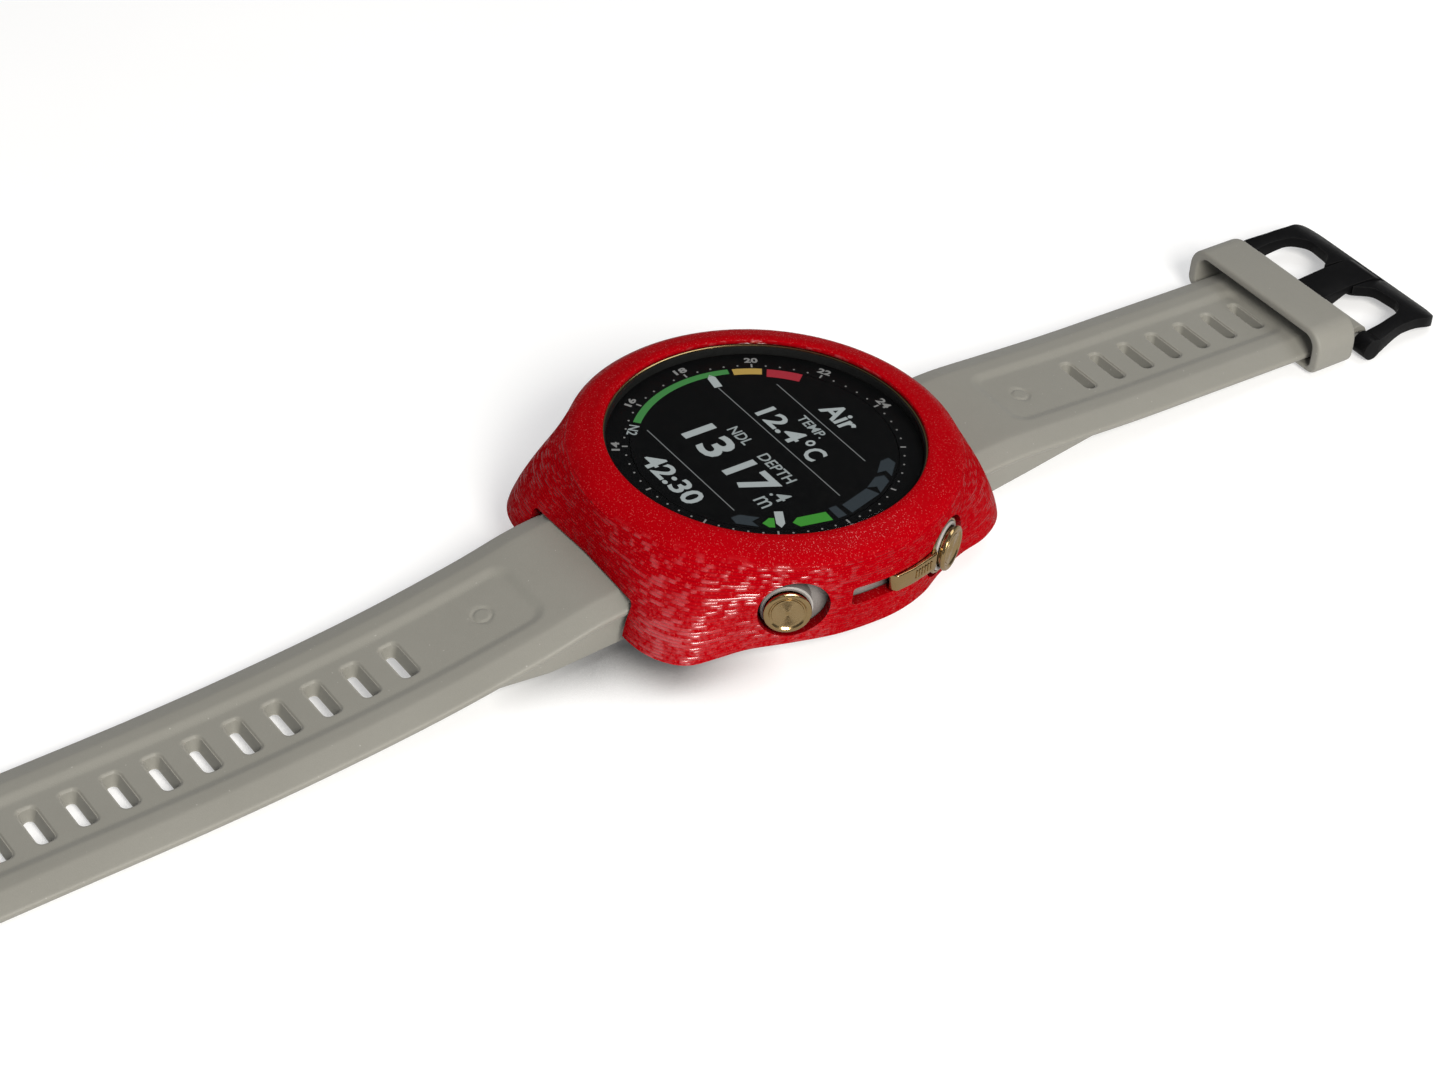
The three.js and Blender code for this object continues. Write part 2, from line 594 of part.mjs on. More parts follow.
// Height of the strap's upper face along its length; y counts away from the case on both straps.
const LONG_TOP = new THREE.SplineCurve([
  [22.3, 6.75], [25, 6.6], [29, 5.95], [36, 4.2], [48, 1.9], [62, 0.1], [76, -1.1], [92, -1.9],
  [110, -2.8], [126, -3.4],
].map(([y, z]) => new THREE.Vector2(y, z)));
const SHORT_TOP = new THREE.SplineCurve([
  [22.3, 6.75], [26, 7.0], [32, 7.1], [40, 6.75], [50, 6.3], [62, 6.11], [85.5, 5.75],
].map(([y, z]) => new THREE.Vector2(y, z)));

function band(curve, above, below, steps = 13) {
  const line = [];
  for (let i = 0; i <= steps; i += 1) {
    line.push(curve.getPointAt(i / steps));
  }
  const upper = line.map((p) => [p.x, p.y + above]);
  const lower = line.map((p) => [p.x, p.y - below]).reverse();
  return polygon([...upper, ...lower]);
}

function panelRecess(curve, from, to) {
  const layer = across(band(curve, 2, PANEL.depth), PANEL.halfWidth);
  const middle = (from + to) / 2;
  const plan = roundedRect(PANEL.halfWidth, (to - from) / 2, PANEL.corner, 0, middle);
  return overlap(layer, raised(plan, -20, 20));
}

function slotCuts({ firstSlot, pitch, slots, slot }) {
  const cuts = [];
  for (let i = 0; i < slots; i += 1) {
    const plan = roundedRect(SLOT_LENGTH / 2, slot / 2, 0.6, 0, firstSlot + pitch * i);
    cuts.push(raised(plan, -20, 20, 2));
  }
  return cuts;
}

// Rounded end that turns on the spring bar, and the wedge that stiffens the strap behind it.
function strapRoot(wedge) {
  const end = rod(ROOT_RADIUS, -STRAP.wedgeHalf, STRAP.wedgeHalf, BAR.y, BAR.z, MEDIUM);
  return join(end, across(polygon(wedge), STRAP.wedgeHalf));
}

function aboutBar(geometry, degrees) {
  const turn = THREE.MathUtils.degToRad(degrees);
  return geometry.translate(0, -BAR.y, -BAR.z).rotateX(turn).translate(0, BAR.y, BAR.z);
}

// The pocket holds the latch; the mouth below the bar lets the strap drop off it.
function latchPocket(tilt) {
  const pocket = box(-4.3, 4.3, 19, 33.4, -3, 2.45);
  const mouth = box(-STRAP.wedgeHalf - 1, STRAP.wedgeHalf + 1, BAR.y - 0.85, BAR.y + 0.85, -1, BAR.z);
  const bore = rod(BAR.radius + 0.1, -11, 11, BAR.y, BAR.z);
  return [aboutBar(pocket, tilt), aboutBar(mouth, tilt), bore];
}

function longStrap() {
  const edge = { width: STRAP.bevelWidth, drop: STRAP.bevelDrop };
  const strip = across(band(LONG_TOP, 0, STRAP.thickness), STRAP.halfWidth, edge);
  const tipShape = new THREE.Shape();
  tipShape.moveTo(-12, 10);
  tipShape.lineTo(-12, LONG_STRAP.tip - 9);
  tipShape.bezierCurveTo(-9.2, LONG_STRAP.tip, 9.2, LONG_STRAP.tip, 12, LONG_STRAP.tip - 9);
  tipShape.lineTo(12, 10);
  const trimmed = overlap(strip, raised(tipShape, -20, 20));
  const body = join(trimmed, strapRoot(LONG_WEDGE));
  const lastSlot = LONG_STRAP.firstSlot + LONG_STRAP.pitch * LONG_STRAP.slots;
  return cut(body, panelRecess(LONG_TOP, LONG_STRAP.panelStart, lastSlot), ...slotCuts(LONG_STRAP),
    ...latchPocket(LATCH_TILT.long));
}

function shortStrap() {
  const edge = { width: STRAP.bevelWidth, drop: STRAP.bevelDrop };
  const strip = across(band(SHORT_TOP, 0, STRAP.thickness), STRAP.halfWidth, edge);
  const { y, z, strapEnd } = BUCKLE_PIN;
  const barrel = rod(strapEnd, -STRAP.halfWidth, STRAP.halfWidth, y, z, MEDIUM);
  const body = join(strip, strapRoot(SHORT_WEDGE), barrel);
  const lastSlot = SHORT_STRAP.firstSlot + SHORT_STRAP.pitch * (SHORT_STRAP.slots - 1);
  const tongueGap = box(-TONGUE.gap, TONGUE.gap, y - 2.1, y + 4.5, 0, 12);
  const pinHole = rod(BUCKLE_PIN.radius + 0.08, -12, 12, y, z);
  return cut(body, panelRecess(SHORT_TOP, SHORT_STRAP.panelStart, lastSlot + 2.2),
    ...slotCuts(SHORT_STRAP), ...latchPocket(LATCH_TILT.short), tongueGap, pinHole);
}

// Sliding latch: its raised tip closes the mouth under the spring bar.
function strapLatch(tilt) {
  const plate = raised(roundedRect(4.1, 5.2, 0.8, 0, 26.6), 0.9, 1.9);
  const tip = box(-4.0, 4.0, 21.5, 23.2, 1.5, 2.3);
  const ribs = [28.2, 29.4, 30.6].map((y) => box(-3.2, 3.2, y - 0.25, y + 0.25, 0.6, 1.2));
  return aboutBar(join(plate, tip, ...ribs), tilt);
}

const springBar = rod(BAR.radius, -BAR.reach, BAR.reach, BAR.y, BAR.z);
add('spring_bar_12', springBar, FINISH.steel);
add('spring_bar_6', atSix(springBar), FINISH.steel);
add('strap_short', shortStrap(), FINISH.silicone);
add('strap_long', atSix(longStrap()), FINISH.silicone);
add('strap_latch_12', strapLatch(LATCH_TILT.short), FINISH.blackPlastic);
add('strap_latch_6', atSix(strapLatch(LATCH_TILT.long)), FINISH.blackPlastic);

// ---- keeper and buckle ----------------------------------------------------------------------

function strapKeeper() {
  const { length, halfWidth, sideWall, wall, floor, bottom, top } = KEEPER;
  const halfHeight = (top - bottom) / 2;
  const middle = (top + bottom) / 2;
  const insideHalf = (top - wall - bottom - floor) / 2;
  const outer = raised(roundedRect(halfWidth, halfHeight, 1.9), -length / 2, length / 2);
  const inside = roundedRect(halfWidth - sideWall, insideHalf, 1.0, 0, (floor - wall) / 2);
  return cut(outer, raised(inside, -length, length)).rotateX(Math.PI / 2).translate(0, KEEPER.centre, middle);
}

// Plan of the frame: two arms, the outer bar between them and the pad under the tongue.
function buckleOutline() {
  const { halfWidth, armWidth, outer, barWidth } = BUCKLE;
  const inside = halfWidth - armWidth;
  const bar = outer - barWidth;
  const right = [[inside, BUCKLE_PIN.y], [halfWidth, BUCKLE_PIN.y], [halfWidth, 86.7], [11.8, 90.5],
    [11.8, 93.6], [12.5, 96.0], [12.1, outer - 0.5], [10.4, outer]];
  const innerRight = [[2.5, bar - 2.7], [4.2, bar], [8.8, bar], [inside, bar - 1.6]];
  const left = (points) => points.map(([x, y]) => [-x, y]).reverse();
  return polygon([...right, ...left(right), ...left(innerRight), ...innerRight]);
}

function buckleFrame() {
  const { halfWidth, armWidth, outer, thickness } = BUCKLE;
  const inside = halfWidth - armWidth;
  const under = BUCKLE_TOP.map(([y, z]) => [y, z - thickness]).reverse();
  const plate = overlap(raised(buckleOutline(), 0, 12), across(polygon([...BUCKLE_TOP, ...under]), 14));
  const knuckle = rod(BUCKLE_PIN.knuckle, inside, halfWidth, BUCKLE_PIN.y, BUCKLE_PIN.z, MEDIUM);
  const knuckles = join(knuckle, knuckle.clone().translate(-inside - halfWidth, 0, 0), plate);
  const groove = box(-TONGUE.groove, TONGUE.groove, 89, outer + 1, TONGUE.rest, 9);
  const hole = rod(BUCKLE_PIN.radius + 0.04, -12.4, 12.4, BUCKLE_PIN.y, BUCKLE_PIN.z);
  return cut(knuckles, groove, hole);
}

function buckleTongue() {
  const { halfWidth, rest, tip } = TONGUE;
  const under = rest + 0.15;
  const { y, z, knuckle } = BUCKLE_PIN;
  const barrel = rod(knuckle, -halfWidth, halfWidth, y, z, MEDIUM);
  const side = polygon([[BUCKLE_PIN.y, 3.9], [88.5, 4.4], [90.5, under], [tip, under], [tip + 0.1, under + 0.3],
    [tip - 1.1, under + 1.0], [91.0, under + 1.1], [88.0, 6.1], [BUCKLE_PIN.y, 5.9]]);
  const bar = across(side, halfWidth);
  const hole = rod(BUCKLE_PIN.radius + 0.08, -4, 4, BUCKLE_PIN.y, BUCKLE_PIN.z);
  return cut(join(barrel, bar), hole);
}

const bucklePin = rod(BUCKLE_PIN.radius, -12.2, 12.2, BUCKLE_PIN.y, BUCKLE_PIN.z);
add('strap_keeper', strapKeeper(), FINISH.silicone);
add('buckle_frame', buckleFrame(), FINISH.blackMetal);
add('buckle_tongue', buckleTongue(), FINISH.blackMetal);
add('buckle_pin', bucklePin, FINISH.steel);

export default watch;
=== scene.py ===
"""Looks of a wrist dive computer in a printed red cover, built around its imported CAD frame.

Shapes are drawn in millimetres in the CAD frame (+Z out of the display, +Y to 12 o'clock).
"""

import json
from contextlib import contextmanager
from math import atan2, ceil, cos, degrees, hypot, pi, radians, sin, sqrt

import bmesh
import bpy
import numpy as np
from mathutils import Matrix, Vector

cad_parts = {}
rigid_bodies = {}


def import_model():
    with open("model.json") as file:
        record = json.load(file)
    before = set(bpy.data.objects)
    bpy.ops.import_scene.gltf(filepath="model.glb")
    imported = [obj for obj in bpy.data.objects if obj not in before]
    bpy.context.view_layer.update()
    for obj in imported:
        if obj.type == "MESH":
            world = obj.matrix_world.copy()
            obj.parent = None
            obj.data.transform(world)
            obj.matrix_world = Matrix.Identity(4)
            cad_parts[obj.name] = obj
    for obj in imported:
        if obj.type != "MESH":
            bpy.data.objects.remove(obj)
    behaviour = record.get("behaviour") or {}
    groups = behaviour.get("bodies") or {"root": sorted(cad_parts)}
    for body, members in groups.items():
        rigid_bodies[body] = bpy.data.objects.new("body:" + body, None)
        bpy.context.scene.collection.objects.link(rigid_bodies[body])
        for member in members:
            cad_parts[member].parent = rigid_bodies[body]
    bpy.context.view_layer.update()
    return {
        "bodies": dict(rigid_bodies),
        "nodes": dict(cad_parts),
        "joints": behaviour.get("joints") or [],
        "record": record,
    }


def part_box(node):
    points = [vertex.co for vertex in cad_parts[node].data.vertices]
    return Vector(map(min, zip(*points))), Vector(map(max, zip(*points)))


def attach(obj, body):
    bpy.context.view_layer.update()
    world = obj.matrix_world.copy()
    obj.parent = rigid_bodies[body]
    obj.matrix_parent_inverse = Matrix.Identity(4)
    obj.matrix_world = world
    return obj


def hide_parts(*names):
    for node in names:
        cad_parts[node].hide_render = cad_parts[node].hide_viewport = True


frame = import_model()

MM = 0.001  # metres in a millimetre: meshes are stored in metres


# ---- sizes taken from the frame

def extent(node):
    """Lowest and highest corner of a CAD node, in millimetres."""
    low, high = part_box(node)
    return low / MM, high / MM


JOINTS = {joint["name"]: joint for joint in frame["joints"]}
BUTTONS = ("start", "back", "light", "up", "down")


def button_angle(name):
    """Where a button sits around the case, in degrees from 3 o'clock."""
    axis = JOINTS["press_" + name]["axis"]
    return degrees(atan2(-axis[1], -axis[0]))


BAR_Y, BAR_Z = (value / MM for value in JOINTS["turn_strap_short"]["pos_m"][1:])
PIN_Y, PIN_Z = (value / MM for value in JOINTS["turn_buckle"]["pos_m"][1:])
LENS_RADIUS, LENS_TOP = extent("lens")[1].x, extent("lens")[1].z
LENS_BOTTOM = extent("lens")[0].z
DIAL_Z = extent("display_panel")[1].z
BEZEL_OUTER, BEZEL_TOP, BEZEL_BOTTOM = extent("bezel")[1].x, extent("bezel")[1].z, extent("bezel")[0].z
COVER_TOP = extent("protective_cover")[1].z
STRAP_HALF = extent("strap_long")[1].x
CASE_RADIUS = 21.3
BUTTON_Z = (extent("button_up")[0].z + extent("button_up")[1].z) / 2
BUTTON_FACE = -extent("button_up")[0].x
CAP_RADIUS = (extent("button_up")[1].z - extent("button_up")[0].z) / 2
KEEPER_LOW, KEEPER_HIGH = extent("strap_keeper")


# ---- curves

def spaced(plan, end):
    """Positions from the first start to end. The plan holds (start, longest step) pairs."""
    places = []
    stops = [start for start, _ in plan[1:]] + [end]
    for (start, step), stop in zip(plan, stops):
        count = max(1, ceil((stop - start) / step - 1e-6))
        places += [start + (stop - start) * i / count for i in range(count)]
    return places + [end]


def smooth_path(points, steps, closed=False):
    """A uniform Catmull-Rom curve through the points, as a numpy array of samples."""
    given = [np.array(p, float) for p in points]
    if closed:
        padded = [given[-1], *given, given[0], given[1]]
    else:
        padded = [2 * given[0] - given[1], *given, 2 * given[-1] - given[-2]]
    samples = []
    for a, b, c, d in zip(padded, padded[1:], padded[2:], padded[3:]):
        for i in range(steps):
            t = i / steps
            bend = 2 * a - 5 * b + 4 * c - d + t * (3 * (b - c) + d - a)
            samples.append(b + 0.5 * t * (c - a + t * bend))
    if not closed:
        samples.append(given[-1])
    return np.array(samples)


def height_along(points):
    """The height z at a distance y, on a smooth curve through (y, z) points."""
    path = smooth_path(points, 24)
    return lambda y: float(np.interp(y, path[:, 0], path[:, 1]))


def rounded(points, radius, steps):
    """A closed outline with its corners rounded."""
    out = []
    count = len(points)
    for i, corner in enumerate(points):
        here = Vector(corner)
        before = Vector(points[i - 1]) - here
        after = Vector(points[(i + 1) % count]) - here
        reach = min(radius, before.length * 0.45, after.length * 0.45)
        first = here + before.normalized() * reach
        second = here + after.normalized() * reach
        for k in range(steps + 1):
            t = k / steps
            out.append(tuple((1 - t) ** 2 * first + 2 * t * (1 - t) * here + t * t * second))
    return out


def rounded_rect(half_x, half_y, radii, steps=6, centre=(0.0, 0.0)):
    """A rectangle with one corner radius, or with a lower and an upper one."""
    lower, upper = radii if isinstance(radii, tuple) else (radii, radii)
    corners = ((1, -1, lower), (1, 1, upper), (-1, 1, upper), (-1, -1, lower))
    outline = []
    for start, (sx, sy, radius) in zip((-90, 0, 90, 180), corners):
        for k in range(steps + 1):
            angle = radians(start + 90 * k / steps)
            x = sx * (half_x - radius) + radius * cos(angle)
            y = sy * (half_y - radius) + radius * sin(angle)
            outline.append((centre[0] + x, centre[1] + y))
    return outline


def rect_distance(x, y, half_x, half_y, radius):
    """Signed distance from a rounded rectangle at the origin: negative inside."""
    dx = abs(x) - half_x + radius
    dy = abs(y) - half_y + radius
    outside = hypot(max(dx, 0.0), max(dy, 0.0))
    return outside + min(max(dx, dy), 0.0) - radius


def inset(outline, amount):
    """A closed outline moved inwards along its own normals (counter-clockwise outlines)."""
    inner = []
    count = len(outline)
    for i, point in enumerate(outline):
        ahead = Vector(outline[(i + 1) % count]) - Vector(outline[i - 1])
        inward = Vector((-ahead.y, ahead.x))
        if inward.length > 1e-9:
            inward.normalize()
        inner.append(tuple(Vector(point) + inward * amount))
    return inner


def smoothstep(value):
    value = min(1.0, max(0.0, value))
    return value * value * (3 - 2 * value)


# ---- solids

def placed(name, data):
    """A new object in the scene."""
    piece = bpy.data.objects.new(name, data)
    bpy.context.scene.collection.objects.link(piece)
    return piece


@contextmanager
def editing(mesh):
    work = bmesh.new()
    work.from_mesh(mesh)
    yield work
    work.to_mesh(mesh)
    work.free()


def solid(name, vertices, faces):
    mesh = bpy.data.meshes.new(name)
    mesh.from_pydata([Vector(v) * MM for v in vertices], [], faces)
    with editing(mesh) as work:
        bmesh.ops.recalc_face_normals(work, faces=work.faces)
    return placed(name, mesh)


def loft(name, rings, closed=False):
    """A skin over rings of equal length; its ends are capped, or joined when closed."""
    count = len(rings[0])
    vertices = [point for ring in rings for point in ring]
    faces = []
    last = len(rings) if closed else len(rings) - 1
    for i in range(last):
        j = (i + 1) % len(rings)
        for k in range(count):
            m = (k + 1) % count
            faces.append((i * count + k, i * count + m, j * count + m, j * count + k))
    if not closed:
        faces.append(tuple(reversed(range(count))))
        faces.append(tuple((len(rings) - 1) * count + k for k in range(count)))
    return solid(name, vertices, faces)


def circle(radius, z, segments):
    turn = 2 * pi / segments
    return [(radius * cos(turn * k), radius * sin(turn * k), z) for k in range(segments)]


def turned(name, profile, segments=96):
    """A body of revolution about Z from (radius, z) points, closed on itself or on the axis."""
    on_axis = profile[0][0] == 0
    used = profile[1:-1] if on_axis else profile
    return loft(name, [circle(r, z, segments) for r, z in used], closed=not on_axis)


def drum(radius, low, high, segments):
    """A plain cylinder about Z, mostly for cutting."""
    return turned("drum", [(0, low), (radius, low), (radius, high), (0, high)], segments)


def plate(name, outline, low, high, edge=0.0, steps=3):
    """A plan outline raised from low to high, with rounded upper and lower edges."""
    levels = [(low, 0.0), (high, 0.0)]
    if edge:
        arc = [radians(90 * k / steps) for k in range(steps + 1)]
        levels = [(low + edge * (1 - cos(a)), edge * (1 - sin(a))) for a in arc]
        levels += [(high - edge * (1 - cos(a)), edge * (1 - sin(a))) for a in reversed(arc)]
    rings = [[(x, y, z) for x, y in inset(outline, amount)] for z, amount in levels]
    return loft(name, rings)


def across(name, outline, half_width, edge=0.0, steps=2):
    """A side outline (y, z) drawn out along X, centred on x = 0."""
    piece = plate(name, outline, -half_width, half_width, edge, steps)
    return moved(piece, Matrix(((0, 0, 1, 0), (1, 0, 0, 0), (0, 1, 0, 0), (0, 0, 0, 1))))


def rod(name, radius, low, high, y, z, segments=32):
    outline = [(y + px, z + py) for px, py, _ in circle(radius, 0, segments)]
    rings = [[(x, a, b) for a, b in outline] for x in (low, high)]
    return loft(name, rings)


def box(name, low, high):
    outline = [(low[0], low[1]), (high[0], low[1]), (high[0], high[1]), (low[0], high[1])]
    return plate(name, outline, low[2], high[2])


def moved(piece, matrix):
    piece.data.transform(matrix)
    if matrix.determinant() < 0:
        piece.data.flip_normals()
    return piece


def shifted(piece, x, y, z):
    return moved(piece, Matrix.Translation(Vector((x, y, z)) * MM))


def rotated(piece, angle, axis):
    return moved(piece, Matrix.Rotation(radians(angle), 4, axis))


def at_six(piece):
    """Turns a piece drawn at 12 o'clock to 6 o'clock."""
    return rotated(piece, 180, "Z")


def radial(piece, angle, height):
    """Lays a piece drawn along Z along the watch's radius, at an angle and a height."""
    return shifted(rotated(rotated(piece, 90, "Y"), angle, "Z"), 0, 0, height)


def at_button(piece, name):
    return radial(piece, button_angle(name), BUTTON_Z)


def about_bar(piece, angle):
    shifted(piece, 0, -BAR_Y, -BAR_Z)
    return shifted(rotated(piece, angle, "X"), 0, BAR_Y, BAR_Z)


def bake(piece):
    """Applies a piece's modifiers to its mesh."""
    graph = bpy.context.evaluated_depsgraph_get()
    result = bpy.data.meshes.new_from_object(piece.evaluated_get(graph))
    old = piece.data
    piece.modifiers.clear()
    piece.data = result
    bpy.data.meshes.remove(old)
    return piece


def combined(piece, operation, tools):
    for tool in tools:
        change = piece.modifiers.new(operation, "BOOLEAN")
        change.operation = operation
        change.solver = "MANIFOLD"
        change.object = tool
    bake(piece)
    for tool in tools:
        bpy.data.objects.remove(tool)
    return piece


def cut(piece, *tools):
    return combined(piece, "DIFFERENCE", tools)


def join(piece, *tools):
    return combined(piece, "UNION", tools)


def softened(piece, width, angle):
    """Rounds the edges sharper than an angle."""
    bevel = piece.modifiers.new("edges", "BEVEL")
    bevel.width = width * MM
    bevel.segments = 3
    bevel.limit_method = "ANGLE"
    bevel.angle_limit = radians(angle)
    bevel.use_clamp_overlap = True
    return bake(piece)


def shade(piece, sharp):
    """Smooth shading with sharp edges kept sharp."""
    with editing(piece.data) as work:
        for face in work.faces:
            face.smooth = True
        for edge in work.edges:
            edge.smooth = len(edge.link_faces) == 2 and edge.calc_face_angle() < radians(sharp)


# ---- materials

class Look:
    """A node material. Most methods add a node and return the socket that feeds the next one."""

    def __init__(self, name):
        self.material = bpy.data.materials.new(name)
        self.material.use_nodes = True
        self.nodes = self.material.node_tree.nodes
        self.place = self.add("TexCoord", output="Object")

    def add(self, kind, inputs=None, output=0, **settings):
        node = self.nodes.new("ShaderNode" + kind)
        for key, value in settings.items():
            setattr(node, key, value)
        for key, value in (inputs or {}).items():
            self.feed(node.inputs[key], value)
        return node.outputs[output]

    def feed(self, socket, value):
        """Links a socket, or sets it to a number, a vector or a colour without its alpha."""
        if isinstance(value, bpy.types.NodeSocket):
            self.material.node_tree.links.new(value, socket)
        else:
            socket.default_value = (*value, 1.0) if socket.type == "RGBA" else value

    def set(self, **values):
        """Feeds the surface and returns the material."""
        for key, value in values.items():
            self.feed(self.nodes["Principled BSDF"].inputs[key.replace("_", " ")], value)
        return self.material

    def math(self, operation, a, b=0.0):
        return self.add("Math", {0: a, 1: b}, operation=operation)

    def times(self, first, *others):
        for other in others:
            first = self.math("MULTIPLY", first, other)
        return first

    def plus(self, a, b):
        return self.math("ADD", a, b)

    def rest(self, share):
        return self.math("SUBTRACT", 1.0, share)

    def noise(self, size, detail=2.0, place=None):
        """Noise from 0 to 1 with lumps of a size in millimetres."""
        inputs = {"Vector": place or self.place, "Scale": 1 / (size * MM), "Detail": detail}
        return self.add("TexNoise", inputs)

    def span(self, value, low, high, start=0.0, end=1.0):
        """Maps low..high of a value to start..end, clamped."""
        inputs = {"Value": value, "From Min": low, "From Max": high, "To Min": start, "To Max": end}
        return self.add("MapRange", inputs)

    def mix(self, factor, first, second):
        return self.add("Mix", {0: factor, 6: first, 7: second}, 2, data_type="RGBA")

    def bump(self, height, depth):
        """Relief of a depth in millimetres."""
        return self.add("Bump", {"Height": height, "Distance": depth * MM, "Strength": 1.0})

    def axis(self, vector, index):
        return self.add("SeparateXYZ", {0: vector}, index)

    def vector(self, x, y, z):
        return self.add("CombineXYZ", {0: x, 1: y, 2: z})

    def compare(self, operation, first, second):
        return self.add("VectorMath", {0: first, 1: second}, "Value", operation=operation)

    def uneven(self, size, smooth, rough, detail=3.0):
        """Roughness that drifts between two values over patches of a size in millimetres."""
        return self.span(self.noise(size, detail), 0.3, 0.7, smooth, rough)

    def edges(self, radius, strength):
        """0 on flat stretches, rising to a strength on edges tighter than a radius in millimetres."""
        rounded_normal = self.add("Bevel", {"Radius": radius * MM}, samples=4)
        dot = self.compare("DOT_PRODUCT", rounded_normal, self.add("NewGeometry", output="Normal"))
        return self.span(dot, 1.0, 0.85, 0.0, strength)

    def open_sky(self, reach, samples):
        return self.add("AmbientOcclusion", {"Distance": reach * MM}, "AO", samples=samples)

    def hollow(self, reach, share):
        """A mask for painted shade: 0 in the open, rising to a share in gaps narrower than about a reach in
        millimetres.
        """
        return self.span(self.open_sky(reach, 6), 0.75, 0.25, 0.0, share)


def red_print():
    """Glossy red filament: beads along the layers, whose gloss breaks up into short dashes. Its colour also
    carries painted shade in the layer grooves and hollows, and painted highlights in the dashes and specks.
    """
    look = Look("red_print")
    x, y, z = (look.axis(look.place, index) for index in range(3))
    arc = look.times(look.math("ARCTAN2", y, x), COVER_REACH * MM)
    waviness = look.times(look.noise(3.0, 1.0), 0.6)
    level = look.plus(look.math("DIVIDE", z, LAYER * MM), waviness)
    bead = look.math("SINE", look.times(look.math("FRACT", level), pi))
    along = look.vector(arc, look.times(look.math("FLOOR", level), LAYER_JUMP * MM), 0.0)
    dash = look.span(look.noise(1.5, 1.0, along), 0.50, 0.63)
    speck = look.span(look.noise(0.17, 0.0), 0.67, 0.77)
    upright = look.span(look.axis(look.add("NewGeometry", output="Normal"), 2), 0.6, 0.9, 1.0, 0.0)
    beads = look.times(bead, look.plus(0.3, dash), upright)
    grain = look.times(look.noise(0.22, 3.0), look.span(upright, 0.0, 1.0, 0.25, 0.22))
    tone = look.mix(look.noise(6.0, 2.0), (0.27, 0.0, 0.002), (0.35, 0.0, 0.003))
    # painted shade: the grooves between the layer beads are darkened on upright faces
    tone = look.mix(look.times(look.rest(bead), upright, 0.45), tone, (0.12, 0.0, 0.003))
    # painted glints: pale pink specks in the colour, where the tops also get extra gloss
    tone = look.mix(look.times(speck, 0.3), tone, (0.62, 0.08, 0.07))
    # painted highlight: below, the colour turns pinkish white in streaks on upright faces that mirror the
    # lamp side; the same masks also set the gloss
    low = look.span(z, 5.0 * MM, 11.0 * MM, 0.5, 0.0)
    streaks = look.plus(dash, look.times(low, look.span(look.noise(0.45, 2.0), 0.35, 0.65)))
    to_lamp = look.compare("DOT_PRODUCT", look.add("TexCoord", output="Reflection"), LAMP_SIDE)
    glint = look.span(to_lamp, 0.15, 0.7, 0.08, 1.0)
    tone = look.mix(look.times(streaks, glint, upright, 0.15), tone, (0.80, 0.17, 0.20))
    # painted shade: near-black in hollows and gaps, from ambient occlusion
    tone = look.mix(look.hollow(2.5, 0.75), tone, (0.03, 0.0, 0.001))
    side_gloss = look.times(look.span(streaks, 0.12, 1.1, 0.01, 0.85), glint, upright)
    top_gloss = look.times(look.span(speck, 0.0, 1.0, 0.015, 0.7), look.rest(upright))
    look.set(Base_Color=tone, Roughness=look.span(dash, 0.0, 1.0, 0.34, 0.22))
    look.set(Specular_IOR_Level=look.plus(side_gloss, top_gloss))
    return look.set(Normal=look.bump(look.plus(beads, grain), 0.055))


def grey_polymer():
    look = Look("grey_polymer")
    tone = look.mix(look.noise(2.0, 4.0), (0.30, 0.285, 0.27), (0.36, 0.345, 0.33))
    tone = look.mix(look.edges(0.12, 0.5), tone, (0.5, 0.48, 0.46))
    # painted shade: near-black in gaps and recesses, from ambient occlusion
    tone = look.mix(look.hollow(3.0, 0.8), tone, (0.05, 0.035, 0.033))
    relief = look.bump(look.noise(0.12, 3.0), 0.012)
    return look.set(Base_Color=tone, Roughness=look.uneven(0.6, 0.48, 0.62), Normal=relief)


def silicone():
    """Soft matte rubber with faint clouding, fine tooth, a few specks of dust, and painted highlights along
    its tight edges.
    """
    look = Look("silicone")
    tone = look.mix(look.noise(14.0, 3.0), (0.205, 0.199, 0.174), (0.238, 0.232, 0.206))
    fine = look.noise(0.16, 4.0)
    tone = look.mix(look.times(fine, 0.25), tone, (0.17, 0.165, 0.145))
    dust = look.span(look.noise(0.35, 0.0), 0.86, 0.88)
    tone = look.mix(look.times(dust, 0.4), tone, (0.5, 0.49, 0.45))
    # painted highlight: a cream tone along tight edges and slot lips
    tone = look.mix(look.edges(0.25, 0.35), tone, (0.42, 0.40, 0.35))
    relief = look.bump(look.plus(fine, look.times(look.noise(1.2, 2.0), 0.6)), 0.02)
    look.set(Base_Color=tone, Roughness=look.uneven(1.5, 0.5, 0.64), Normal=relief)
    return look.set(Sheen_Weight=0.12, Sheen_Roughness=0.5)


def gold_metal():
    """Bronze-gold coating with fine tool marks and a paler tone along its edges."""
    look = Look("gold_metal")
    tone = look.mix(look.noise(1.5, 3.0), (0.42, 0.29, 0.13), (0.52, 0.37, 0.18))
    tone = look.mix(look.edges(0.1, 0.7), tone, (0.75, 0.6, 0.38))
    relief = look.bump(look.noise(0.1, 3.0), 0.0008)
    return look.set(Base_Color=tone, Metallic=1.0, Roughness=look.uneven(0.5, 0.14, 0.24), Normal=relief)


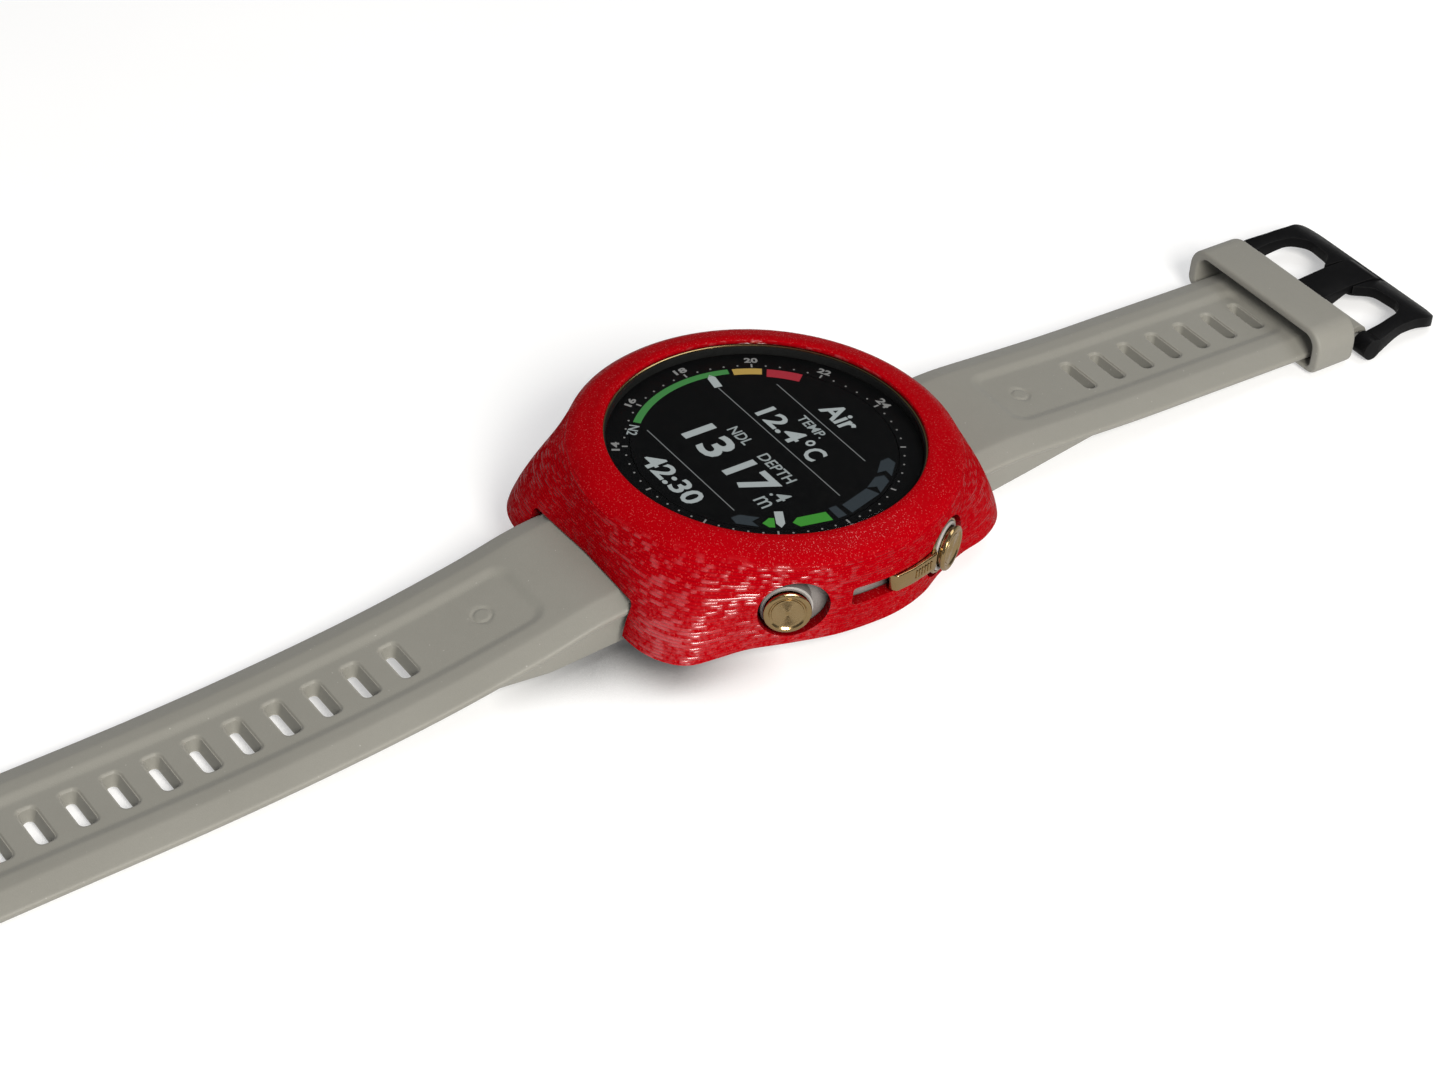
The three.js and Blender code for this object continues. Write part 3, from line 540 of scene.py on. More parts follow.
def steel():
    look = Look("steel")
    x, y, z = (look.axis(look.place, index) for index in range(3))
    brushed = look.vector(look.times(x, 0.06), y, z)
    grain = look.noise(0.12, 2.0, brushed)
    tone = look.mix(grain, (0.50, 0.51, 0.52), (0.66, 0.66, 0.67))
    look.set(Base_Color=tone, Metallic=1.0, Roughness=look.span(grain, 0.2, 0.8, 0.26, 0.4))
    return look.set(Normal=look.bump(grain, 0.004))


def black_metal():
    """Satin black coating, a little lighter along its edges."""
    look = Look("black_metal")
    tone = look.mix(look.noise(1.0, 4.0), (0.002, 0.002, 0.0024), (0.005, 0.005, 0.0055))
    tone = look.mix(look.edges(0.2, 0.5), tone, (0.02, 0.02, 0.02))
    relief = look.bump(look.noise(0.1, 3.0), 0.006)
    look.set(Base_Color=tone, Roughness=look.uneven(0.8, 0.32, 0.44), Normal=relief)
    return look.set(Specular_IOR_Level=0.14)


def glass(look, tint, smear, reflection):
    """A clear tint under a smeared reflection."""
    clear = look.add("BsdfTransparent", {0: tint})
    shine = look.add("BsdfGlossy", {"Roughness": smear})
    surface = look.add("MixShader", {0: reflection, 1: clear, 2: shine})
    look.feed(look.nodes["Material Output"].inputs["Surface"], surface)
    return look.material


def lens_glass():
    """Clear coated glass: it lets the display through and keeps only a faint reflection."""
    look = Look("lens_glass")
    smear = look.span(look.noise(9.0, 4.0), 0.45, 0.8, 0.02, 0.07)
    outside = look.rest(look.add("NewGeometry", output="Backfacing"))
    reflection = look.times(look.add("Fresnel", {"IOR": 1.2}), 0.7, outside)
    return glass(look, (0.97, 0.98, 0.98), smear, reflection)


def smoked_glass():
    """Nearly black glass over the pulse sensor."""
    look = Look("smoked_glass")
    smear = look.span(look.noise(5.0, 4.0), 0.45, 0.8, 0.05, 0.14)
    return glass(look, (0.16, 0.15, 0.15), smear, look.add("Fresnel", {"IOR": 1.45}))


def plain(name, dark, light, rough, grain, metallic=0.0, depth=0.01, gloss=0.5):
    """A simple surface with mottled colour, grain and uneven gloss."""
    look = Look(name)
    uneven = look.uneven(grain * 2, rough * 0.85, min(1.0, rough * 1.15), 2.0)
    look.set(Base_Color=look.mix(look.noise(grain * 4, 4.0), dark, light))
    look.set(Metallic=metallic, Roughness=uneven, Normal=look.bump(look.noise(grain, 3.0), depth))
    return look.set(Specular_IOR_Level=gloss)


def lit(name, tone):
    """A lit or printed stretch of the screen, with a faint grid of pixels."""
    look = Look(name)
    x, y = (look.times(look.axis(look.place, index), 1 / (PIXEL * MM)) for index in range(2))
    fractions = look.math("MAXIMUM", look.math("FRACT", x), look.math("FRACT", y))
    gap = look.span(fractions, 0.8, 0.95, 0.0, 0.25)
    glow = look.mix(gap, tone, (0.005, 0.005, 0.005))
    look.set(Base_Color=(0.01, 0.01, 0.01), Roughness=0.6, Specular_IOR_Level=0.1)
    return look.set(Emission_Color=glow, Emission_Strength=1.0)


LAYER = 0.34  # height of one printed layer
LAYER_JUMP = 7.37  # sets each layer's dashes apart from the next one's
COVER_REACH = 23.0  # radius at which the print's dashes are measured
LAMP_SIDE = (0.6, -0.8, 0.0)  # the print only glints where it mirrors this side of the room, and carries painted highlights there
PIXEL = 0.12

PLAIN_LOOKS = {  # dark and light tone, roughness, grain, metallic, depth, gloss
    "screen": ((0.001, 0.001, 0.0015), (0.003, 0.003, 0.003), 0.35, 0.5, 0.0, 0.002, 0.1),
    "black_rubber": ((0.003, 0.003, 0.003), (0.009, 0.009, 0.009), 0.8, 0.2, 0.0, 0.01, 0.2),
    "circuit_board": ((0.01, 0.10, 0.04), (0.02, 0.16, 0.07), 0.45, 0.4),
    "black_plastic": ((0.012, 0.012, 0.013), (0.03, 0.03, 0.032), 0.5, 0.2),
    "foil": ((0.45, 0.46, 0.47), (0.62, 0.63, 0.64), 0.35, 0.6, 0.9),
    "copper": ((0.45, 0.2, 0.1), (0.62, 0.3, 0.16), 0.3, 0.3, 1.0),
    "amber_film": ((0.35, 0.14, 0.03), (0.5, 0.22, 0.05), 0.4, 0.5),
}
LOOKS = {slot: plain(slot, *values) for slot, values in PLAIN_LOOKS.items()}
LOOKS.update((build.__name__, build()) for build in (
    red_print, grey_polymer, silicone, gold_metal, steel, black_metal, lens_glass))
SENSOR_GLASS = smoked_glass()
SCREEN_TONES = {
    "white": (0.36, 0.39, 0.39), "dim": (0.29, 0.32, 0.32), "line": (0.15, 0.16, 0.16),
    "green": (0.04, 0.20, 0.045), "bright_green": (0.035, 0.25, 0.02), "yellow": (0.42, 0.27, 0.06),
    "red": (0.34, 0.014, 0.028), "slate": (0.020, 0.028, 0.035), "mark": (0.22, 0.215, 0.21),
}
SCREEN_LOOKS = {name: lit("lit_" + name, tone) for name, tone in SCREEN_TONES.items()}


def dress(piece, material, sharp):
    shade(piece, sharp)
    piece.data.materials.clear()
    piece.data.materials.append(material)


def present(piece, slot, *nodes, body="watch", look=None, sharp=32):
    """Finishes a piece: shading, material, the body it rides on and the CAD nodes it stands for."""
    dress(piece, look or LOOKS[slot], sharp)
    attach(piece, body)
    if nodes:
        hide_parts(*nodes)


# ---- protective cover

COVER = {
    "rim": 18.5, "cavity": 21.5, "shoulder": 13.0, "base": 3.05, "slope": 0.02,
    "window_half": 10.0, "lip": 6.95, "hole_half_width": 4.1, "hole_half_height": 3.6,
}
WAIST = 22.95
LUG_RADIUS, LUG_X = 1.7, 11.9
FOOT_6 = [(0, -24.4), (5.5, -24.9), (10.5, -25.6), (14.2, -25.1), (16.9, -23.6), (18.2, -21.7),
          (18.7, -18.6), (19.2, -15.1), (20.8, -10.2), (22.2, -5.1), (22.7, 0)]
FOOT_12 = [(0, 24.3), (5.5, 24.7), (10.5, 25.2), (13.6, 24.4), (15.8, 22.5), (17.4, 19.4),
           (18.2, 15.6), (19.7, 11.3), (21.5, 7.6), (22.5, 3.8)]


def foot_radius():
    """Distance of the cover's foot from the watch axis, by angle."""
    right = FOOT_6 + FOOT_12[::-1]
    left = [(-x, y) for x, y in right[1:-1][::-1]]
    path = smooth_path(right + left, 12, closed=True)
    angles = np.arctan2(path[:, 1], path[:, 0])
    radii = np.hypot(path[:, 0], path[:, 1])
    order = np.argsort(angles)
    return lambda angle: float(np.interp(angle, angles[order], radii[order], period=2 * pi))


def cover_ring(rise, foot, segments, shrink=0.0):
    """One level of the cover's side, from the foot (rise 0) to the shoulder (rise 1)."""
    ring = []
    waist = WAIST + 0.5 * sin(pi * min(1.0, (1 - rise) * 1.6) / 2)
    spread = 1 - rise ** 1.35
    for k in range(segments):
        angle = 2 * pi * k / segments
        reach = waist + (foot(angle) - waist) * spread - shrink
        x, y = reach * cos(angle), reach * sin(angle)
        z = COVER["base"] + (COVER["shoulder"] - COVER["base"]) * rise + COVER["slope"] * y * (1 - rise)
        ring.append((x, y, z))
    return ring


def cover_shell():
    segments, levels = 360, 44
    foot = foot_radius()
    rim, cavity = COVER["rim"], COVER["cavity"]
    crown = smooth_path([(18.68, COVER_TOP - 0.02), (19.4, COVER_TOP - 0.01), (20.2, 14.45), (21.5, 14.05),
                         (22.4, 13.5), (WAIST, COVER["shoulder"])], 5)
    rings = [circle(r, z, segments) for r, z in ((rim, 14.15), (rim, 14.42), (rim + 0.05, 14.55), *crown)]
    rings += [cover_ring(1 - i / levels, foot, segments) for i in range(1, levels)]
    rings.append([(x, y, z + 0.12) for x, y, z in cover_ring(0.0, foot, segments)])
    rings.append(cover_ring(0.0, foot, segments, 0.3))
    rings.append([(x, y, COVER["base"] + COVER["slope"] * y) for x, y, _ in circle(cavity, 0, segments)])
    walls = [(cavity, 12.3), (BEZEL_OUTER + 0.15, 13.3), (BEZEL_OUTER + 0.15, 13.65), (20.65, 14.15)]
    rings += [circle(r, z, segments) for r, z in walls]
    return loft("cover_shell", rings, closed=True)


def lug_outline(grow):
    radius = LUG_RADIUS + grow
    nose = [(BAR_Y + radius * cos(a), BAR_Z + radius * sin(a))
            for a in (radians(-90 + 15 * k) for k in range(11))]
    return [(14, 1.8 - grow), *nose, (18.5, 9.6 + grow), (14, 9.6 + grow)]


def lugs(grow, edge=0.0):
    pieces = []
    for side in (1, -1):
        for end in (0, 1):
            lug = across("lug", lug_outline(grow), LUG_RADIUS + grow, edge)
            shifted(lug, side * LUG_X, 0, 0)
            pieces.append(at_six(lug) if end else lug)
    return pieces


def button_hole(name):
    """An oval hole whose mouth opens out a little. The back button's sits a little to one side."""
    wide, tall = COVER["hole_half_width"], COVER["hole_half_height"]
    rings = []
    for reach, grow in ((17, 1.0), (22.8, 1.0), (23.3, 1.015), (23.7, 1.05), (24.1, 1.10), (27, 1.5)):
        rings.append([(reach, y * wide * grow, x * tall * grow) for x, y, _ in circle(1.0, 0, 64)])
    aside = 2.2 if name == "back" else 0.0
    return rotated(shifted(loft("hole", rings), 0, 0, BUTTON_Z - 0.1), button_angle(name) + aside, "Z")


def guard_slot():
    """The slot that shows the sensor guard, with rounded ends."""
    low, high = radians(-9.6), radians(button_angle("start"))
    reach, half_height, middle = 22, 1.22, 8.12
    rounded_slot = rounded_rect((high - low) / 2 * reach, half_height, 0.45, 4)
    outline = [((low + high) / 2 + along / reach, middle + z) for along, z in rounded_slot]
    fine = []
    for (a0, z0), (a1, z1) in zip(outline, outline[1:] + outline[:1]):
        steps = max(1, round(abs(a1 - a0) / radians(2)))
        fine += [(a0 + (a1 - a0) * i / steps, z0 + (z1 - z0) * i / steps) for i in range(steps)]
    rings = [[(r * cos(a), r * sin(a), z) for a, z in fine] for r in (18, 27)]
    return loft("slot", rings)


def protective_cover():
    shell = cover_shell()
    reach_down = 5.0
    tools = []
    for end in (0, 1):
        outline = rounded_rect(COVER["window_half"], reach_down, 0.7, 4, (0, COVER["lip"] - reach_down))
        window = loft("window", [[(x, y, z) for x, z in outline] for y in (16, 32)])
        tools.append(at_six(window) if end else window)
    tools += lugs(0.2)
    tools += [button_hole(name) for name in BUTTONS]
    tools.append(guard_slot())
    return cut(shell, *tools)


present(protective_cover(), "red_print", "protective_cover", sharp=38)


# ---- bezel, lens and guard

def bezel():
    """Gold ring with rounded edges; only its upper inner edge shows between the lens and the cover."""
    inner = extent("lens_gasket")[1].x + 0.03
    profile = [(inner, BEZEL_BOTTOM), (BEZEL_OUTER, BEZEL_BOTTOM), (BEZEL_OUTER, BEZEL_TOP - 0.45),
               (BEZEL_OUTER - 0.45, BEZEL_TOP), (inner + 0.1, BEZEL_TOP + 0.08), (inner - 0.14, BEZEL_TOP),
               (inner - 0.14, BEZEL_TOP - 0.12)]
    return turned("bezel_ring", rounded(profile, 0.06, 2), 180)


def gasket():
    inner, outer = LENS_RADIUS + 0.02, extent("lens_gasket")[1].x
    low, high = extent("lens_gasket")[0].z, BEZEL_TOP - 0.16
    profile = [(inner, low), (outer, low), (outer, high), (inner, high)]
    return turned("seal_ring", rounded(profile, 0.05, 2), 180)


def lens():
    profile = [(0, LENS_BOTTOM), (LENS_RADIUS, LENS_BOTTOM), (LENS_RADIUS, LENS_TOP - 0.3),
               (LENS_RADIUS - 0.1, LENS_TOP - 0.1), (LENS_RADIUS - 0.3, LENS_TOP), (0, LENS_TOP)]
    return turned("lens_glass", profile, 180)


def guard_bar():
    outline = [(22.5, 1.3), (23.35, 1.9), (23.2, 4.2), (22.35, 8.2), (19.9, 9.6), (19.4, 8.95), (21.25, 3.2)]
    return plate("guard", rounded(outline, 0.25, 3), 7.0, 9.2, 0.18)


def sensor_guard():
    """Bar over the sensor port, with grip ribs on its long face, and the ring around the button."""
    guard = guard_bar()
    collar = [(0, 21.6), (3.4, 21.6), (3.4, 22.75), (3.25, 22.9), (0, 22.9)]
    join(guard, at_button(turned("collar", collar, 64), "start"))
    ribs = []
    for k in range(6):
        share = 0.16 + 0.12 * k
        x, y = 23.2 - 0.85 * share, 4.2 + 4.0 * share
        ribs.append(box("rib", (x - 0.35, y - 0.11, 7.55), (x + 0.12, y + 0.11, 8.65)))
    join(guard, *ribs)
    return cut(guard, at_button(drum(3.05, 18, 25, 64), "start"), drum(CASE_RADIUS + 0.2, 0, 20, 180))


present(bezel(), "gold_metal", "bezel")
present(gasket(), "black_rubber", "lens_gasket")
present(lens(), "lens_glass", "lens", sharp=20)
present(sensor_guard(), "gold_metal", "sensor_guard")


# ---- buttons

def button(name):
    """Cap with a rolled rim, a groove and a finely turned centre; plug, stem and stem clip behind it."""
    face = BUTTON_FACE
    roll = [(0, 0.3), (0.06, 0.14), (0.2, 0.03), (0.36, 0), (0.52, 0.03), (0.72, 0.2), (0.82, 0.22)]
    rim = [(CAP_RADIUS - 0.1, 23.6), (CAP_RADIUS, 23.72)]
    rim += [(CAP_RADIUS - less, face - depth) for less, depth in roll]
    centre = [(1.86, face - 0.22), (1.8, face - 0.12)]
    for k in range(8):
        ring_radius = 1.7 - 0.2 * k
        centre += [(ring_radius, face - 0.10), (ring_radius - 0.1, face - 0.14)]
    profile = [(0, 16.75), (0.8, 16.75), (0.8, 17.05), (1.25, 17.05), (1.25, 17.4), (0.8, 17.4), (0.8, 22.4),
               (2.3, 22.4), (2.3, 23.6), *rim, *centre, (0, face - 0.14)]
    piece = at_button(turned("cap_" + name, profile, 72), name)
    present(piece, "gold_metal", "button_" + name, body="button_" + name, sharp=28)


for button_name in BUTTONS:
    button(button_name)


# ---- straps

LONG_TOP = height_along([(22.3, 6.75), (25, 6.6), (29, 5.95), (36, 4.2), (48, 1.9), (62, 0.1), (76, -1.1),
                         (92, -1.9), (110, -2.8), (126, -3.4)])
SHORT_TOP = height_along([(22.3, 6.6), (25.5, 6.72), (29, 7.0), (33, 7.1), (40, 6.75), (50, 6.3),
                          (62, 6.11), (85.5, 5.75)])
THICKNESS = 2.0
PANEL = {"half": 4.8, "depth": 0.4, "corner": 1.8, "slope": 0.75}
MARK = {"radius": 1.1, "depth": 0.14, "width": 0.18}
SLOT_HALF = 2.9
SLOT_CORNER = 0.75
TIP = 8.0  # length of the long strap's rounded tip
ROOT_HALF = 9.0
LATCH_TILT = {"12": 9, "6": -4}  # slope of the strap roots in degrees, which the latches follow
LIP = 0.24  # radius of the slots' rounded upper edges
# Levels of a slot: the depth, how much shorter each end is, and the share that the width loses.
SLOT_LEVELS = [(3.0, 0.6, 0.52), (THICKNESS, 0.5, 0.46), (1.1, 0.2, 0.2), (LIP, 0, 0), (-1.5, 0, 0)]
LONG = {"first": 48.1, "pitch": 4.82, "count": 14, "slot": 2.3, "panel": (32.3, 115.6), "mark": 37.5,
        "end": 123.7, "top": LONG_TOP}
SHORT = {"first": 47.8, "pitch": 4.59, "count": 7, "slot": 1.7, "panel": (34.5, 77.5), "mark": 38.5,
         "end": PIN_Y, "top": SHORT_TOP}

TOP_EDGE = [(6.9, 0.0), (7.15, 0.03), (7.4, 0.11), (9.25, 0.80), (9.45, 0.88), (9.62, 0.98),
            (STRAP_HALF, 1.12)]
UNDER_EDGE = [(STRAP_HALF, 1.42), (9.62, 1.62), (9.4, 1.78), (8.4, 1.93), (7.2, THICKNESS)]


def slot_centres(kind):
    return [kind["first"] + kind["pitch"] * i for i in range(kind["count"])]


def relief(kind, x, y):
    """How far the upper face sinks at a point: the panel, the slots' edges and the small ring mark."""
    low, high = kind["panel"]
    from_panel = rect_distance(x, y - (low + high) / 2, PANEL["half"], (high - low) / 2, PANEL["corner"])
    sink = PANEL["depth"] * smoothstep((PANEL["slope"] - from_panel) / (2 * PANEL["slope"]))
    near = round((y - kind["first"]) / kind["pitch"])
    centre = kind["first"] + kind["pitch"] * min(max(near, 0), kind["count"] - 1)
    from_slot = rect_distance(x, y - centre, SLOT_HALF, kind["slot"] / 2, SLOT_CORNER)
    if from_slot < LIP:
        short = LIP - max(from_slot, 0.0)
        sink += LIP - sqrt(LIP * LIP - short * short)
    from_mark = abs(hypot(x, y - kind["mark"]) - MARK["radius"])
    return sink + MARK["depth"] * smoothstep(1.4 - from_mark / MARK["width"])


def half_width(kind, y):
    """The long strap narrows to a rounded tip; the short one keeps its width."""
    if kind is SHORT or y < kind["end"] - TIP:
        return 1.0
    share = (y - kind["end"] + TIP) / TIP
    return max(0.03, (1 - min(share, 1.0) ** 2.6) ** (1 / 2.2))


def strap_strip(kind):
    columns = [(0.0, 0.3), (0.6, 0.16), (1.2, 0.4), (2.2, 0.13), (3.3, 0.35), (3.9, 0.17), (5.7, 0.6)]
    upper = [(x, 0.0) for x in spaced(columns, TOP_EDGE[0][0])] + TOP_EDGE[1:]
    top = [(-x, drop) for x, drop in reversed(upper)] + upper[1:]
    under = UNDER_EDGE + [(x, THICKNESS) for x in (4.0, 0.0, -4.0)]
    under += [(-x, drop) for x, drop in reversed(UNDER_EDGE)]
    plan = [(BAR_Y, 1.0), (kind["panel"][0] - 1.0, 0.2), (kind["panel"][0] + 2.4, 0.6),
            (kind["mark"] - 1.3, 0.13), (kind["mark"] + 1.3, 0.8)]
    for centre in slot_centres(kind):
        edge = kind["slot"] / 2
        plan += [(centre - edge - 0.4, 0.1), (centre - edge + 0.7, 0.5), (centre + edge - 0.7, 0.1),
                 (centre + edge + 0.4, 0.6)]
    rows = spaced(plan, kind["end"] - (TIP if kind is LONG else 0.0))
    if kind is LONG:
        rows += [kind["end"] - TIP * (1 - (k / 24) ** 0.6) for k in range(1, 24)] + [kind["end"] - 0.01]
    rings = []
    for y in rows:
        base = kind["top"](y)
        scale = half_width(kind, y)
        ring = [(x * scale, y, base - drop - relief(kind, x, y)) for x, drop in top]
        ring += [(x * scale, y, base - drop) for x, drop in under]
        rings.append(ring)
    return loft("strap", rings)


def slot_cutters(kind):
    """Each slot narrows towards the underside."""
    tools = []
    half = kind["slot"] / 2
    for centre in slot_centres(kind):
        top = kind["top"](centre)
        rings = []
        for depth, less_x, less_y in SLOT_LEVELS:
            narrow = half - less_y * half
            corner = min(SLOT_CORNER, narrow * 0.95)
            outline = rounded_rect(SLOT_HALF - less_x, narrow, corner, 6, (0, centre))
            rings.append([(x, y, top - depth) for x, y in outline])
        tools.append(loft("slot", rings))
    return tools


def strap_root(wedge):
    """The wedge that stiffens the strap's first stretch, and the rounded end on the spring bar."""
    block = across("wedge", rounded(wedge, 0.8, 3), ROOT_HALF, 0.35, 3)
    return [block, rod("end", 2.9, -ROOT_HALF, ROOT_HALF, BAR_Y, BAR_Z, 48)]


def latch_pocket(tilt):
    pocket = plate("pocket", rounded_rect(4.3, 7.2, 0.8, 4, (0, 26.2)), -3, 2.45)
    mouth = box("mouth", (-10, BAR_Y - 0.85, -1), (10, BAR_Y + 0.85, BAR_Z))
    return [about_bar(pocket, tilt), about_bar(mouth, tilt), rod("bore", 0.85, -11, 11, BAR_Y, BAR_Z)]


def long_strap():
    strip = strap_strip(LONG)
    wedge = [(22.3, 6.3), (22.3, 1.0), (34, 0.05), (41, 0.7), (43.6, 1.5), (36, 3.2)]
    join(strip, *strap_root(wedge))
    cut(strip, *slot_cutters(LONG), *latch_pocket(LATCH_TILT["6"]))
    strip.name = "strap_with_slots"
    return at_six(strip)


def short_strap():
    strip = strap_strip(SHORT)
    wedge = [(22.3, 5.9), (22.3, 1.0), (26, 1.2), (33, 2.4), (44, 4.4), (47.5, 4.55), (47.5, 5.5),
             (36, 5.9)]
    barrel = rod("barrel", 1.7, -STRAP_HALF, STRAP_HALF, PIN_Y, PIN_Z)
    join(strip, *strap_root(wedge), barrel)
    gap = box("gap", (-2.9, 83.4, 0), (2.9, 90, 12))
    bore = rod("bore", 0.83, -12, 12, PIN_Y, PIN_Z)
    cut(strip, *slot_cutters(SHORT), *latch_pocket(LATCH_TILT["12"]), gap, bore)
    strip.name = "strap_with_buckle"
    return strip


present(long_strap(), "silicone", "strap_long", body="strap_long", sharp=40)
present(short_strap(), "silicone", "strap_short", body="strap_short", sharp=40)


# ---- keeper and buckle

def keeper():
    """A soft loop: rounded section, rolled edges, and a slight belly towards the buckle."""
    half_x, low, high = KEEPER_HIGH.x, KEEPER_LOW.y, KEEPER_HIGH.y
    half_z, middle = (KEEPER_HIGH.z - KEEPER_LOW.z) / 2, (KEEPER_HIGH.z + KEEPER_LOW.z) / 2
    side, sole, roof = 1.4, 0.62, 1.1
    hollow = (half_x - side, half_z - (sole + roof) / 2)
    outer = rounded_rect(half_x, half_z, (1.6, 2.8), 8, (0, middle))
    inner = rounded_rect(*hollow, (0.9, 1.7), 8, (0, middle + (sole - roof) / 2))
    quarter = [radians(90 * k / 4) for k in range(5)]
    rings = []
    for outline, roll, sign in ((outer, 0.42, 1), (inner, 0.3, -1)):
        run = [(low + roll * (1 - sin(a)), roll * (1 - cos(a)) * sign) for a in reversed(quarter)]
        run += [(low + (high - low) * k / 4, 0.0) for k in (1, 2, 3)]
        run += [(high - roll * (1 - sin(a)), roll * (1 - cos(a)) * sign) for a in quarter]
        for y, amount in run[::sign]:
            share = (y - low) / (high - low)
            ring = []
            for x, z in inset(outline, amount):
                belly = 0.8 * (1 - (x / half_x) ** 2) - 0.4
                ring.append((x, y + belly * share, z))
            rings.append(ring)
    return loft("keeper_loop", rings, closed=True)


BUCKLE_TOP = smooth_path([(84, 5.4), (87.5, 6.0), (91, 6.3), (94, 6.15), (96, 5.7), (97.8, 4.85)], 5)


def buckle_outline():
    right = [(10.5, PIN_Y), (12.9, PIN_Y), (12.9, 86.7), (12.3, 90.0), (12.2, 93.4), (12.5, 95.4),
             (12.0, 96.9), (10.2, 97.6)]
    inner = [(2.5, 90.9), (4.3, 93.7), (8.2, 94.1), (9.9, 92.3), (10.5, 88.6)]
    outline = right + [(-x, y) for x, y in reversed(right)] + [(-x, y) for x, y in reversed(inner)] + inner
    return rounded(outline, 0.9, 4)


def buckle_frame():
    """A bowed plate that thickens towards its knuckles, with a groove for the tongue."""
    thin, taper, bend = 1.4, 0.17, 91
    under = [(y, z - thin - taper * max(0.0, bend - y)) for y, z in BUCKLE_TOP][::-1]
    side = [tuple(p) for p in BUCKLE_TOP] + under
    frame_plate = plate("buckle_bow", buckle_outline(), 0, 12)
    combined(frame_plate, "INTERSECT", [across("section", side[::-1], 14)])
    knuckles = [rod("knuckle", 1.45, low, low + 2.4, PIN_Y, PIN_Z) for low in (-12.9, 10.5)]
    join(frame_plate, *knuckles)
    groove = box("groove", (-2.7, 89, 5.1), (2.7, 98.6, 9))
    cut(frame_plate, groove, rod("bore", 0.79, -12.4, 12.4, PIN_Y, PIN_Z))
    return softened(frame_plate, 0.22, 35)


def buckle_tongue():
    side = [(PIN_Y, 3.9), (88.5, 4.4), (90.5, 5.25), (96.5, 5.25), (96.6, 5.55), (95.4, 6.2), (91.0, 6.32),
            (88.0, 6.1), (PIN_Y, 5.9)]
    tongue = across("buckle_tang", rounded(side, 0.3, 3), 2.4)
    join(tongue, rod("barrel", 1.45, -2.4, 2.4, PIN_Y, PIN_Z))
    cut(tongue, rod("bore", 0.83, -4, 4, PIN_Y, PIN_Z))
    return softened(tongue, 0.18, 40)


present(keeper(), "silicone", "strap_keeper", body="strap_keeper", sharp=50)
present(buckle_frame(), "black_metal", "buckle_frame", body="buckle_frame")
present(buckle_tongue(), "black_metal", "buckle_tongue", body="buckle_tongue")


# ---- display

INK_LOW = DIAL_Z + 0.006  # the readouts are thin raised shapes on the display
INK_HIGH = DIAL_Z + 0.03


def polar(*points):
    """Points given as (radius, degrees)."""
    return [(r * cos(radians(a)), r * sin(radians(a))) for r, a in points]


def sector(inner, outer, start, end):
    """Points around a ring sector, at most 3 degrees apart."""
    count = ceil((end - start) / 3)
    angles = [start + (end - start) * k / count for k in range(count + 1)]
    return [(outer, a) for a in angles] + [(inner, a) for a in reversed(angles)]


def ink(outline):
    return plate("ink", outline, INK_LOW, INK_HIGH)


def ink_polar(*points):
    return ink(polar(*points))


def letters(text, left, right, bottom, top, weight, turn=0.0, centre=None):
    """Raised text stretched to fill a box, or turned about its own middle and set at a centre."""
    curve = bpy.data.curves.new("letters", "FONT")
    curve.body = text
    curve.offset = weight
    curve.resolution_u = 3
    curve.extrude = 0.5
    source = placed("letters", curve)
    bpy.context.view_layer.update()
    graph = bpy.context.evaluated_depsgraph_get()
    mesh = bpy.data.meshes.new_from_object(source.evaluated_get(graph))
    bpy.data.objects.remove(source)
    with editing(mesh) as work:
        bmesh.ops.remove_doubles(work, verts=work.verts, dist=1e-4)
    piece = placed("ink", mesh)
    corners = np.array([v.co for v in mesh.vertices])
    low, high = corners.min(0), corners.max(0)
    size = Vector((right - left, top - bottom, INK_HIGH - INK_LOW))
    scale = Matrix.Diagonal((*(size[i] / (high[i] - low[i]) for i in range(3)), 1.0))
    middle = Matrix.Translation(-Vector((low + high) / 2))
    place = centre or ((left + right) / 2, (bottom + top) / 2)
    there = Matrix.Translation((place[0], place[1], (INK_LOW + INK_HIGH) / 2))
    turned_by = Matrix.Rotation(radians(turn), 4, "Z")
    return moved(piece, Matrix.Scale(MM, 4) @ there @ turned_by @ scale @ middle)


def numeral(text, radius, angle, height, width):
    centre = polar((radius, angle))[0]
    return letters(text, -width / 2, width / 2, -height / 2, height / 2, 0.03, angle - 90, centre)


def merged(name, pieces):
    """Several shapes as one mesh of separate closed solids."""
    mesh = bpy.data.meshes.new(name)
    with editing(mesh) as work:
        for piece in pieces:
            work.from_mesh(piece.data)
            bpy.data.objects.remove(piece)
    return placed(name, mesh)


def screen_piece(name, tone, *pieces):
    present(merged("screen_" + name, pieces), "screen", look=SCREEN_LOOKS[tone])


